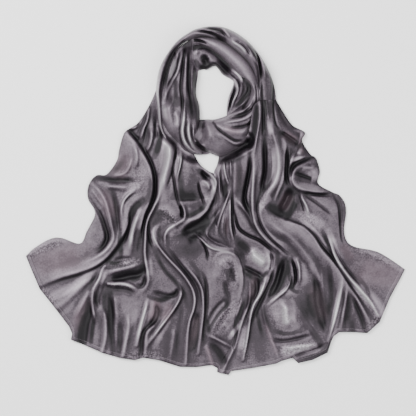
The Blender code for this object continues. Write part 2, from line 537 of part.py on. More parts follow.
def loft(name, plan, top, under):
    """A closed solid lofted through one ring of points for each row of a plan.

    Args:
        name: Object name.
        plan: Plan points, rows by columns.
        top: Height of the upper face at each point.
        under: Height of the underside at each point.

    Returns:
        The new object.
    """
    rows, columns = top.shape
    x, y = in_metres(plan)
    upper = np.stack([x, y, top], axis=-1)
    lower = np.stack([x, y, under], axis=-1)[:, ::-1]
    rings = np.concatenate([upper, lower], axis=1)
    ring = 2 * columns
    faces = []
    for row in range(rows - 1):
        for point in range(ring):
            after = (point + 1) % ring
            first = row * ring
            faces.append((first + point, first + ring + point, first + ring + after, first + after))
    last = (rows - 1) * ring
    for point in range(columns - 1):
        other = ring - 1 - point
        faces.append((point, point + 1, other - 1, other))
        faces.append((last + point, last + other, last + other - 1, last + point + 1))
    mesh = bpy.data.meshes.new(name)
    mesh.from_pydata(rings.reshape(-1, 3).tolist(), [], faces)
    mesh.update()
    solid = bpy.data.objects.new(name, mesh)
    collection.objects.link(solid)
    paint(solid)
    return solid


def paint(solid):
    """Give a solid its own satin material."""
    material = bpy.data.materials.new(solid.name + "_satin")
    material.use_nodes = True
    shader = next(node for node in material.node_tree.nodes if node.type == "BSDF_PRINCIPLED")
    shader.inputs["Base Color"].default_value = SATIN_COLOUR
    shader.inputs["Roughness"].default_value = SATIN_ROUGHNESS
    shader.inputs["Metallic"].default_value = 0.0
    solid.data.materials.append(material)


def lay_end(name, plan, folds, zones, lifts, height):
    """One fanned end of the scarf: a wall of cloth whose folds stand on the floor.

    Args:
        name: Object name.
        plan: Plan points, rows from the ring to the hem.
        folds: Its table of folds.
        zones: Margins that are pressed flat.
        lifts: Places that pass over another stretch.
        height: Mean height of the cloth at each point, in metres, before its folds.
    """
    points = plan.reshape(-1, 2)
    raised = height.reshape(-1) + folded(points, folds)
    raised = np.maximum((raised + np.sqrt(raised**2 + FLOOR_BLEND**2)) / 2 - FLOOR_PRESS, 0.0)
    top = lifted(points, pressed(points, raised + WALL, zones), lifts).reshape(height.shape)
    top = np.maximum(top, WALL)
    return loft(name, plan, top, np.maximum(top - WALL, 0.0))


def wind_band(name, plan, folds, zones, rests, crown):
    """One wound stretch of the neck ring: pleats on top of a rounded, flat-bottomed roll.

    Args:
        name: Object name.
        plan: Plan points, a row for each station along the stretch.
        folds: Its table of pleats.
        zones: Margins that are pressed flat.
        rests: Levels on which its underside rests.
        crown: Height of the roll over the floor, as shares of the way along and millimetres.
    """
    points = plan.reshape(-1, 2)
    rows, columns = plan.shape[:2]
    across = np.linspace(-1.0, 1.0, columns)[None, :]
    roll = np.sqrt(1.0 - 0.97 * np.abs(across) ** 2.6)
    under = rest_level(points, rests).reshape(rows, columns)
    shares, heights = zip(*crown)
    body = np.interp(np.linspace(0.0, 1.0, rows), shares, heights)[:, None] * MM * roll
    top = body + folded(points, folds).reshape(rows, columns) * np.minimum(1.0, 1.3 * roll)
    top = pressed(points, top.reshape(-1), zones).reshape(rows, columns)
    top = np.maximum(top, under + BAND_EDGE)
    return loft(name, plan, top, under)


def band_plan(first, second, rows, columns=BAND_COLUMNS):
    """Plan points of a wound stretch between its two edges, a row for each station."""
    marks = np.linspace(0.0, 1.0, rows + 1)
    left = points_along(first, marks)
    right = points_along(second, marks)
    share = np.linspace(0.0, 1.0, columns + 1)[None, :, None]
    plan = (1 - share) * left[:, None] + share * right[:, None]
    step_along, step_across = plan[1:, :-1] - plan[:-1, :-1], plan[:-1, 1:] - plan[:-1, :-1]
    turn = (step_along[..., 0] * step_across[..., 1] - step_along[..., 1] * step_across[..., 0]).sum()
    return plan if turn < 0 else plan[:, ::-1]


def end_height(marks, columns, near_ring, at_hem, side_share):
    """Mean height of an end before its folds: high at the ring, low at the hem and at both sides."""
    across = np.linspace(-1.0, 1.0, columns + 1)[None, :]
    along = near_ring + (at_hem - near_ring) * ease(marks * 1.15)[:, None]
    return along * (1.0 - side_share * np.abs(across) ** 3)


for old in list(bpy.data.objects):
    bpy.data.objects.remove(old, do_unlink=True)
collection = bpy.data.collections.new("satin_scarf")
bpy.context.scene.collection.children.link(collection)

across_marks = np.linspace(0.0, 1.0, END_COLUMNS + 1)
seam = points_along(MIDDLE_SEAM, SEAM_MARKS)
left_plan = patch(
    points_along(LEFT_TUCK, across_marks),
    points_along(LEFT_HEM, across_marks, keep_corners=True),
    points_along(LEFT_OUTLINE, SEAM_MARKS),
    seam,
    SEAM_MARKS,
)
lay_end(
    "left_tail", left_plan, LEFT_FOLDS, LEFT_PRESSED, (),
    end_height(SEAM_MARKS, END_COLUMNS, 0.014, 0.005, 0.95),
)

right_marks = np.concatenate([HOLE_MARKS * HOLE_SHARE, HOLE_SHARE + SEAM_MARKS[1:] * (1.0 - HOLE_SHARE)])
right_plan = patch(
    points_along(RIGHT_TUCK, across_marks),
    points_along(RIGHT_HEM, across_marks, keep_corners=True),
    np.vstack([points_along(HOLE_SIDE, HOLE_MARKS), seam[1:]]),
    points_along(RIGHT_OUTLINE, right_marks),
    right_marks,
)
right_plan[:, 0, 0] += 1.2 * SEAM / SQUARE
lay_end(
    "right_tail", right_plan, RIGHT_FOLDS, RIGHT_PRESSED, RIGHT_LIFTED,
    end_height(right_marks, END_COLUMNS, 0.026, 0.005, 0.95),
)

wind_band("loop_back", band_plan(BACK_INNER, BACK_OUTER, 24, 6), BACK_FOLDS, BACK_PRESSED, (), BACK_CROWN)
wind_band(
    "loop_front", band_plan(FRONT_LOWER, FRONT_UPPER, 26), FRONT_FOLDS, FRONT_PRESSED, FRONT_RESTS,
    FRONT_CROWN,
)
wind_band(
    "loop_left", band_plan(LEFT_BAND_OUTER, LEFT_BAND_INNER, 24), LEFT_BAND_FOLDS, LEFT_BAND_PRESSED,
    LEFT_BAND_RESTS, LEFT_BAND_CROWN,
)
wind_band("loop_top", band_plan(TOP_OUTER, TOP_INNER, 40), TOP_FOLDS, (), TOP_RESTS, TOP_CROWN)
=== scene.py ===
"""A plain satin scarf laid out flat, seen from straight above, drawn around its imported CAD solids.

Each stretch of the cloth that shows is a fine shell on its solid's form: a patch between the stretch's edges
on the plan, raised by the folds in its tables. The plan is drawn on squares of 2 mm, counted to the right
and downwards from its top left corner, as in the solids' source.
"""

import logging
from dataclasses import dataclass, field
from enum import Enum
from typing import NamedTuple

import bpy
import numpy as np
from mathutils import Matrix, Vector

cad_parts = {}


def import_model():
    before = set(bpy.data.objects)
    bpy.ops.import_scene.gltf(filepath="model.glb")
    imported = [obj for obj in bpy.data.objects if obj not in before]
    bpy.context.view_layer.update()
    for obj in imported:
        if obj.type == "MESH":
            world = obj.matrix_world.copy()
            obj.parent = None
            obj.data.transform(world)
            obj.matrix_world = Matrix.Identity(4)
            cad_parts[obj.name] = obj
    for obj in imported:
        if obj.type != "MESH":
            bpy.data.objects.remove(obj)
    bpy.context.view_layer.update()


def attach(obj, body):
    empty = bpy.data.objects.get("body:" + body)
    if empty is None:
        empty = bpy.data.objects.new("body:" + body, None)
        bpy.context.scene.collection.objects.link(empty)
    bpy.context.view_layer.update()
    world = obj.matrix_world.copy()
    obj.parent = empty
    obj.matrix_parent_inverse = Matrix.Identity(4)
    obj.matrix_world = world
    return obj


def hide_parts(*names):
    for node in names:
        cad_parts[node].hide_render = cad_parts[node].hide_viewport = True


LOG = logging.getLogger("scarf")

MM = 0.001
SQUARE = 2.0 * MM
PLAN_CENTRE = (215.4, 200.46)
PLAN_SIDE = 416.0

WALL = 2.5 * MM
BAND_EDGE = 2.2 * MM
FLOOR_BLEND = 2.4 * MM
FLOOR_PRESS = 0.5 * MM
# The tables' widths are those of a fold's bright or dark core; this makes them whole slopes
SLOPE_SCALE = 1.6
LEAST_SLOPE = 2.3 * MM
GROOVE_CRISPNESS = 0.55
RIDGE_CRISPNESS = 0.15
# Share of a fold's length over which it grows at its start and fades at its end
FADE_SHARE = 0.3
# Distance over which a zone lets go of the cloth round it, in millimetres
ZONE_FADE = 14.0
# The tone is painted light and shade: darker in grooves and on steep slopes, brighter on crests and on slopes
# facing LIT_FROM
# Windows of the tone in metres, the relief in metres that counts as full in each, and their weights
TONE_WINDOWS = ((7.0 * MM, 3.0 * MM, 0.6), (26.0 * MM, 6.5 * MM, 0.62))
STEEP_SHADE = 0.24
STEEPEST = 1.5
CREST_LIFT = (0.32, 0.42)
TONE_SPAN = 1.2
# A painted shade streak's millimetres of rise that count as the full tone, and the share of its width at full
# strength
SHADE_UNIT = 10.0 * MM
SHADE_PLATEAU = 0.3
LIT_FROM = (-0.86, 0.5, 0.0)
LIT_SHARE = 0.36
# Tone of the ring's plain cloth and of the ends': the ends' plain cloth is painted darker, as painted shade
RING_LEVEL = -0.215
RING_GAIN = 0.7
END_LEVEL = -0.44
LEAST_LEVEL = 0.2 * MM
# Across a roll of half width 1, its height is the root of 1 - fullness times the distance to this power
ROLL_FULLNESS = 0.97
ROLL_POWER = 2.6
# Share of a wound stretch's length at which it starts to level out into the end that it carries on as
RUN_OUT = 0.84
# Rounds in which the grid inside an end's four edges is evened
EVENING_ROUNDS = 260


class Fold(NamedTuple):
    """One fold: a ridge if it rises and a groove if it sinks.

    Rise and the widths of the two slopes are in millimetres. Left is the slope on the plan's left when the
    path runs down the plan. The path holds x and y of its plan points in turn. Start and end are the shares
    of the rise that are left at its two ends.
    """

    name: str
    rise: float
    left: float
    right: float
    path: tuple
    start: float = 0.0
    end: float = 0.0


def shade(
    name: str, strength: float, left: float, right: float, path: tuple, start: float = 0.3, end: float = 0.3
) -> Fold:
    """A streak of painted light, painted shade, grain or blush: a fold of the tone alone, in tenths of its
    full span.

    Args:
        name: What the streak follows.
        strength: Tenths of the full tone, grain or blush at the path; below 0 is painted darker.
        left: Width of its left side in millimetres.
        right: Width of its right side.
        path: Plan points.
        start: Share of the strength left at the path's start.
        end: Share left at its end.

    Returns:
        The streak as a row that folded() can read.
    """
    return Fold(name, strength, left, right, path, start, end)


class Zone(NamedTuple):
    """A place held at one level: millimetres from the floor, within a reach of a path on the plan."""

    name: str
    level: float
    reach: float
    path: tuple


# Edges on the plan, each from its upper to its lower end, or from left to right

LEFT_OUTLINE = (
    (157, 88), (149, 106), (138, 123), (126, 131), (122, 139), (119, 150.6), (116.7, 161), (106.8, 174.3),
    (97.6, 175), (91.5, 180), (87.7, 189), (88.4, 199.6), (94, 209), (94.5, 216.5), (87, 231), (80, 243.5),
    (62, 238), (50, 239), (34.5, 248), (26, 256),
)
LEFT_TUCK = (
    (157, 88), (162, 99), (164, 112), (166.5, 123), (173, 132), (180.5, 141.5), (188, 148.5),
    (192.5, 152), (196, 158), (200, 164.5), (206.5, 170), (213.8, 173.5),
)
LEFT_HEM = (
    (26, 256), (32, 270.6), (40, 289), (56, 309), (69, 326), (72.3, 333.5), (71, 339.5), (87.5, 346),
    (103.5, 353), (119, 357.5), (134.8, 360), (143.5, 357.5), (159, 360), (180, 366.7), (196, 367),
    (212, 365), (217.5, 368),
)
MIDDLE_SEAM = (
    (213.8, 173.5), (217, 184), (217, 195), (215.5, 207), (215, 219), (218.5, 231), (225, 241.5),
    (232, 250.5), (238.5, 260.5), (242.5, 272), (243, 286), (240, 301), (236, 314), (233.5, 328),
    (231.5, 343), (225, 356), (217.5, 368),
)
HOLE_SIDE = ((219, 153), (218.6, 158), (217, 165), (213.8, 173.5))
RIGHT_TUCK = (
    (219, 153), (228, 148), (236, 143), (242, 139.5), (246, 136.5), (248.5, 132), (250, 126), (251.5, 116),
    (253.5, 106), (260, 101), (268, 100.2), (276, 100),
)
RIGHT_OUTLINE = (
    (276, 100), (283, 112), (292, 125), (304.8, 132.5), (302, 141), (310, 154), (315.6, 158), (319.7, 171),
    (318, 183.5), (332, 192), (339, 195), (344.6, 203), (346, 213), (344, 230), (347, 241.5), (355.5, 247),
    (371, 250), (380, 253), (391.6, 260), (404.8, 269.3),
)
RIGHT_HEM = (
    (217.5, 368), (217, 372), (228.5, 374.8), (231, 371), (254.7, 367.5), (276, 363.5), (281, 361),
    (292.5, 357.5), (298, 363), (313, 359.5), (327.5, 352.4), (331, 341.6), (333.6, 336), (339, 332),
    (354, 332), (367, 333), (379.4, 322), (390, 297), (400.5, 278), (404.8, 269.3),
)

TOP_OUTER = (
    (165, 139), (161, 131), (158.6, 120), (157.8, 108), (156.6, 99), (156, 91.5), (158, 75), (162, 63),
    (170, 50), (178, 40.6), (188, 33.5), (197, 29), (212, 26.5), (228, 29), (247, 41), (262.7, 60),
    (273, 82), (276.4, 100.6),
)
TOP_INNER = (
    (168, 140.5), (164, 131), (162.4, 120), (162, 108), (162.5, 98), (163.5, 88), (166.5, 72), (172, 57),
    (178, 48), (184, 43), (191, 39.5), (200, 37.3), (210, 38.3), (221, 42), (231, 47.6), (242, 56.5),
    (250, 66), (255, 76), (258, 87), (259.3, 100.8),
)
LEFT_BAND_OUTER = (
    (172, 52), (166, 66), (162.5, 84), (160.8, 98), (160.5, 108), (163, 122), (168.7, 133), (178, 142),
    (183, 149), (191.7, 153.5), (200, 155), (209, 154),
)
LEFT_BAND_INNER = (
    (194, 38), (193, 50), (194, 62), (198, 71), (196.4, 86.5), (196.4, 96), (199.3, 106), (199.8, 118),
    (199, 127), (196.5, 132.5), (194.3, 137), (196, 141), (202.5, 144.6), (209, 150),
)
FRONT_UPPER = (
    (192, 120), (199.8, 120), (207, 119.4), (215, 119.5), (226, 116), (234, 111), (242, 104), (249.5, 96),
    (251.5, 88), (246.5, 80), (239, 75), (228, 64.5), (220, 57), (212, 51), (202, 46.5), (190, 47),
)
FRONT_LOWER = (
    (188, 132), (189, 138), (193.5, 144.5), (201, 150), (210, 153.2), (219.4, 156.4), (228, 153),
    (238, 147.5), (245, 143), (251, 135), (257, 122), (260.5, 106), (260, 92), (256.5, 77), (251, 65),
    (242.5, 55.5), (231, 46.5), (220, 40.5), (208, 36.8), (198, 36.8), (188, 40),
)
BACK_INNER = (
    (191.5, 76), (198, 71), (204, 69.5), (207, 69.8), (214.6, 66.2), (218.4, 69.3), (223, 75), (232, 80),
    (233.3, 84.6), (229, 96), (227, 106), (226.5, 119),
)
BACK_OUTER = (
    (188, 50), (193, 43.5), (202, 40.5), (212, 43), (221, 50), (231, 58), (241, 69), (249, 79),
    (252, 89), (248, 100), (241, 110), (236, 120),
)

# Folds of the left end, from the neck ring to the hem

LEFT_FOLDS = (
    Fold("lapel edge", 8, 24, 2, (127.5, 129, 134, 138, 140, 147, 145, 155, 149, 163, 152, 172, 153.2, 182,
        152, 195, 148.5, 206, 144, 216, 141.5, 226, 140.5, 236), 0.5, 0.2),
    Fold("main valley", -8, 2, 3.5, (131, 132, 137, 140.5, 143, 149, 148.5, 158, 153, 168, 155.4, 180,
        155, 194, 151, 206, 146.3, 216, 143.3, 227, 142.3, 240, 142, 252), 0.3),
    Fold("lapel crest", 5, 4, 4, (133, 143, 136.5, 152, 137, 161, 135, 170)),
    Fold("lapel hollow", -1.5, 6, 6, (126, 160, 125, 170, 120, 177), 0.3, 0.3),
    Fold("lapel hook", 4, 3, 3, (132, 158, 129, 168, 123, 174, 114, 176)),
    Fold("apex flap", 6, 3, 3, (129, 128, 134, 128, 139, 125)),
    Fold("apex hollow", -7, 3, 3, (129, 131, 134, 136, 140, 141), 0.5),
    Fold("first gather", 7, 2.5, 3.5, (149, 109, 147.5, 120, 143.5, 130, 140, 142), 0.6),
    Fold("first gather groove", -3, 3, 2, (146, 110, 144.5, 120, 139.5, 131, 136.5, 138), 0.4),
    Fold("second gather", 6, 4, 4, (151, 126, 152, 137, 149.5, 147, 145, 154)),
    Fold("gather shade", -3, 4, 5, (146, 124, 146, 134, 144, 143, 146, 150), 0.3),
    Fold("gather hollow", -6, 4, 4, (156, 118, 156, 129, 157, 140)),
    Fold("rim strip", 8, 2.5, 2.5, (158.5, 104, 158.8, 117, 161, 127, 166, 134, 170, 142), 0.8),
    Fold("broad ridge", 12, 10, 9, (166, 134, 170, 144, 170, 155, 168, 166, 165, 177, 163, 188,
        162.5, 200), 0, 0.3),
    Fold("main ridge", 9, 2, 5, (159.5, 172, 159.5, 184, 158.5, 196, 153.5, 207, 148.5, 217, 146, 228,
        145, 240, 144.6, 254, 146.5, 268, 148, 280, 145, 288, 140.5, 291.5, 135, 288.5)),
    Fold("strap groove", -7, 2, 2, (162.5, 124, 168, 131, 174, 137.5, 176.6, 144, 176, 153, 174, 163,
        173, 172, 174.5, 182, 176, 192, 178, 201, 181.5, 209, 182.8, 216), 0, 0.3),
    Fold("strap shade", -2.5, 3, 6, (175.5, 140, 176.5, 150, 174.5, 162)),
    Fold("thin crease", -2.5, 2, 2, (173, 170, 170.5, 178, 167, 187)),
    Fold("strap ridge", 7, 2, 3, (179.5, 141, 181.3, 151, 180.6, 163, 178, 175, 177, 184), 0.4),
    Fold("plain panel", 2.5, 12, 14, (190, 155, 189, 172, 189, 188)),
    Fold("panel step", -3, 2, 14, (178, 200, 189, 199.5, 200, 199)),
    Fold("lower panel", 2.5, 8, 6, (186, 209, 195, 210, 203, 206)),
    Fold("hook rim", 7, 2, 5, (179, 200, 182, 205.5, 184.8, 212, 183.8, 218, 179, 222, 172.5, 226,
        167.3, 230, 164.6, 236, 165.5, 245, 169, 252)),
    Fold("hook pocket", -9, 2.5, 2.5, (179.5, 205, 182, 211, 181, 218)),
    Fold("panel lap", 8, 2.5, 12, (179, 233, 184.5, 226, 191, 221.5, 199.5, 218, 206.5, 211.5, 211, 203,
        214.5, 193, 215.5, 183)),
    Fold("big pocket", -13, 10, 5, (182, 236, 188, 230, 196, 225.5, 204, 220, 208, 213)),
    Fold("pocket floor", -6, 10, 8, (186, 240, 196, 238, 203, 232)),
    Fold("inner rim", 8, 4, 3, (199, 166, 206, 171, 213, 176.5, 216.3, 183, 215, 193), 0.3),
    Fold("inner crease", -7, 2.5, 2.5, (198, 180, 199.5, 189, 202.5, 198, 205, 206)),
    Fold("inner light", 5, 4, 4, (202, 181, 208, 184, 210, 192)),
    Fold("inner hollow", -7, 4, 4, (201, 170, 205, 175, 209, 179)),
    Fold("tongue lap", 8, 18, 2, (143, 197.5, 136, 200.5, 131.5, 205.5, 129, 214, 128, 226, 122, 239,
        113.5, 250.5, 104.5, 260, 92, 268.5, 78, 274, 60, 279, 40, 287), 0, 0.2),
    Fold("tongue valley", -4.5, 2, 2.5, (144, 200, 137, 204, 133, 210, 131, 220, 128, 231, 123, 242,
        115, 253, 107, 261.5, 95, 268, 80, 273.5, 63, 279, 41, 288), 0.2, 0.4),
    Fold("tongue foot", -1.5, 3, 4, (137, 206, 134, 217, 130, 228, 125, 240, 118, 251)),
    Fold("tongue crumple", -2.5, 2, 2.5, (142, 189, 135, 193, 128.5, 198.5, 123, 206)),
    Fold("tongue crest", 5, 3, 3, (138, 189.5, 130, 194, 124, 201, 121.5, 211, 123, 222)),
    Fold("middle ridge", 8, 6, 6, (142, 208, 136.5, 220, 133, 232, 130.5, 244, 129, 256)),
    Fold("middle groove", -3, 4, 4, (142, 224, 140, 236, 138.5, 248, 138.5, 256)),
    Fold("pinched ridge", 9, 2.5, 4, (105, 265, 101.5, 271, 99.5, 277.5, 96, 284.5, 93, 292, 92, 300,
        92.5, 309, 95, 318, 98, 327), 0.3),
    Fold("pinch shade", -7, 4, 6, (104, 281, 100, 289, 97.5, 299, 99, 310)),
    Fold("pocket brow", 6, 3, 6, (105, 276, 112, 272.5, 122, 269.5, 134, 266.5, 144, 262)),
    Fold("brow crumple", 4, 2, 2, (106, 266, 114, 267, 124, 263.5, 135, 261.5, 143, 260.5)),
    Fold("shelf hollow", -4, 3, 3, (112, 262, 122, 259, 134, 258.5)),
    Fold("cross pocket", -12, 6, 3, (110, 279.5, 119, 278, 129, 275.5, 138, 274, 144.5, 270), 0, 0.3),
    Fold("pocket corner", -6, 3, 3, (136, 284, 141, 286.5, 144.5, 282, 144.5, 274)),
    Fold("pocket lip", 9, 4, 2, (108, 283, 114, 283.5, 121, 283, 128, 284.3, 134, 287, 139.5, 291), 0.7),
    Fold("lip shade", -5, 3, 2, (110, 289, 120, 289, 129, 290.5, 137, 295)),
    Fold("side ridge", 6, 5, 5, (91, 183, 99, 190.5, 105, 200, 108.5, 211, 111.5, 224, 113.5, 236, 110, 245,
        103, 252.5, 92, 259, 78, 264), 0.4),
    Fold("outer line", 4, 2, 2, (90, 188, 95, 194, 100, 201, 105, 209)),
    Fold("side valley", -9, 5, 3, (91, 199, 96, 207, 101, 215, 105, 226, 107.5, 237, 105, 245, 99, 251,
        93, 252), 0.2),
    Fold("flank valley", -4, 4, 5, (111, 186, 115, 199, 117, 214, 119, 228, 120, 238)),
    Fold("elbow crease", -4, 4, 5, (92, 179, 103, 179.5, 115, 181, 127, 181, 138, 183), 0.3),
    Fold("elbow swell", 4, 5, 5, (104, 186, 118, 187, 132, 188)),
    Fold("corner ray", 4, 12, 5, (101, 268, 90, 279, 76, 292, 60.5, 307), 0, 0.8),
    Fold("mauve swell", 4, 5, 5, (97, 277, 91, 289, 83, 303, 75, 320)),
    Fold("dark bay", -8, 8, 7, (92, 296, 90, 310, 86, 324, 84, 342), 0, 0.7),
    Fold("hem ridge one", 6, 4, 4, (101, 304, 104.5, 313, 106, 326, 105, 340, 102, 352), 0, 0.8),
    Fold("hem valley one", -6, 5, 4, (108, 292, 111, 308, 112, 326, 114, 354), 0, 0.8),
    Fold("flat panel step", 4, 2, 9, (114, 292, 115, 308, 117, 322), 0, 0.3),
    Fold("hem ridge two", 6, 4, 4, (129, 312, 128.5, 327, 126, 341, 123, 356), 0, 0.8),
    Fold("hem valley two", -5, 4, 4, (120, 318, 120, 335, 118, 355), 0, 0.6),
    Fold("hem ridge three", 9, 3, 2.5, (149, 297, 146, 308, 142.5, 320, 139.5, 332, 136.5, 346), 0, 0.5),
    Fold("ridge three shade", -2, 4, 2.5, (137, 318, 133.5, 332, 131, 345), 0, 0.4),
    Fold("pink hollow", -8, 4, 4, (156, 302, 157, 312, 153.5, 321, 147.5, 328)),
    Fold("hem notch", -9, 2, 2.5, (148, 326, 144, 332, 142.5, 339, 142, 347, 141, 355), 0.3, 0.6),
    Fold("notch lap", 6, 2.5, 9, (160, 319, 151.5, 327, 146.5, 332.5, 144.8, 341, 144, 354), 0.2, 0.6),
    Fold("curled ridge", 8, 4, 2.5, (177, 277, 180, 285, 181.8, 292, 179.5, 300, 175, 308, 168.5, 317,
        161, 327, 153, 338, 144, 352)),
    Fold("curl shade", -6, 4, 4, (178, 293, 170, 296, 160, 294, 151, 292)),
    Fold("curl spot", -6, 3, 3, (178, 288, 176, 294, 173, 298)),
    Fold("long ridge", 9, 3, 2.5, (163, 222, 156.5, 226, 153.8, 233, 155.5, 240.5, 161.5, 250, 170.5, 260.5,
        180, 270.5, 187.5, 280, 193, 290, 195, 300, 193.5, 310, 190, 320, 188, 332, 187, 346,
        186, 364), 0, 0.7),
    Fold("long inner groove", -7, 3, 2.5, (150, 217, 148.5, 229, 150.5, 240, 154.5, 250)),
    Fold("crescent pocket", -2.5, 3, 3, (161, 226, 159.5, 234, 162, 243)),
    Fold("long outer groove", -6, 2, 2.5, (165, 243, 173, 254.5, 182, 266, 190, 276, 196, 285, 199, 294,
        199.7, 303, 199, 312)),
    Fold("twin ridge", 7, 2, 2.5, (181, 261, 190, 270.5, 197.5, 280, 202, 290, 203.3, 303, 203, 318,
        201, 334, 198, 354), 0, 0.6),
    Fold("twin groove", -8, 2, 3.5, (200, 268, 204.5, 278, 206.7, 290, 206.8, 303, 205.5, 316, 203.8, 330,
        204.5, 345), 0, 0.3),
    Fold("hem wedge", -8, 5, 2.5, (198.5, 310, 197, 322, 194.5, 334, 193, 350), 0, 0.5),
    Fold("hem swell", 4, 5, 6, (176, 325, 173, 340, 170, 360), 0, 0.5),
    Fold("hem dip", -1.5, 4, 5, (183, 300, 181, 318, 178, 335, 178, 362), 0, 0.5),
    Fold("spit ridge", 7, 3, 3, (194, 232, 200, 238.5, 206.5, 244.5, 214, 249, 226, 251)),
    Fold("spit groove", -8, 2, 2.5, (197, 236.5, 203.5, 244, 207, 252, 208, 262)),
    Fold("bulge", 3, 10, 10, (224, 256, 228, 268, 232, 284, 234, 296)),
    Fold("bulge ring", 5, 4, 3, (213, 263, 218, 254.5, 228, 252, 237, 257, 241.5, 269, 242.7, 283,
        240, 298), 0.2, 0.3),
    Fold("bulge hollow", -5, 4, 4, (229, 267, 234, 274, 235, 283)),
    Fold("bulge groove", -8, 3, 4, (224, 280, 226.5, 291, 231, 303)),
    Fold("bay line", -6, 3, 3, (227, 298, 218, 306, 211, 316, 206.5, 327)),
    Fold("ribbon lap", 3, 2, 10, (240, 298, 230.5, 305, 222, 313, 213.5, 325, 208.3, 335.5), 0.3, 0.3),
    Fold("ribbon hem", 7, 2, 5, (208.5, 335.5, 218, 340, 230, 346.5), 0.3, 0.5),
    Fold("ribbon groove", -8, 2, 2, (236, 314, 235.6, 324, 235.6, 334, 233.5, 349), 0, 0.3),
    Fold("corner hollow", -7, 5, 5, (212, 345, 219, 352, 224, 362), 0.5, 0.5),
    Fold("corner strip", 4, 2, 2.5, (205, 343, 209, 354, 213, 366), 0, 0.8),
)

# Folds of the right end, from the neck ring to the hem

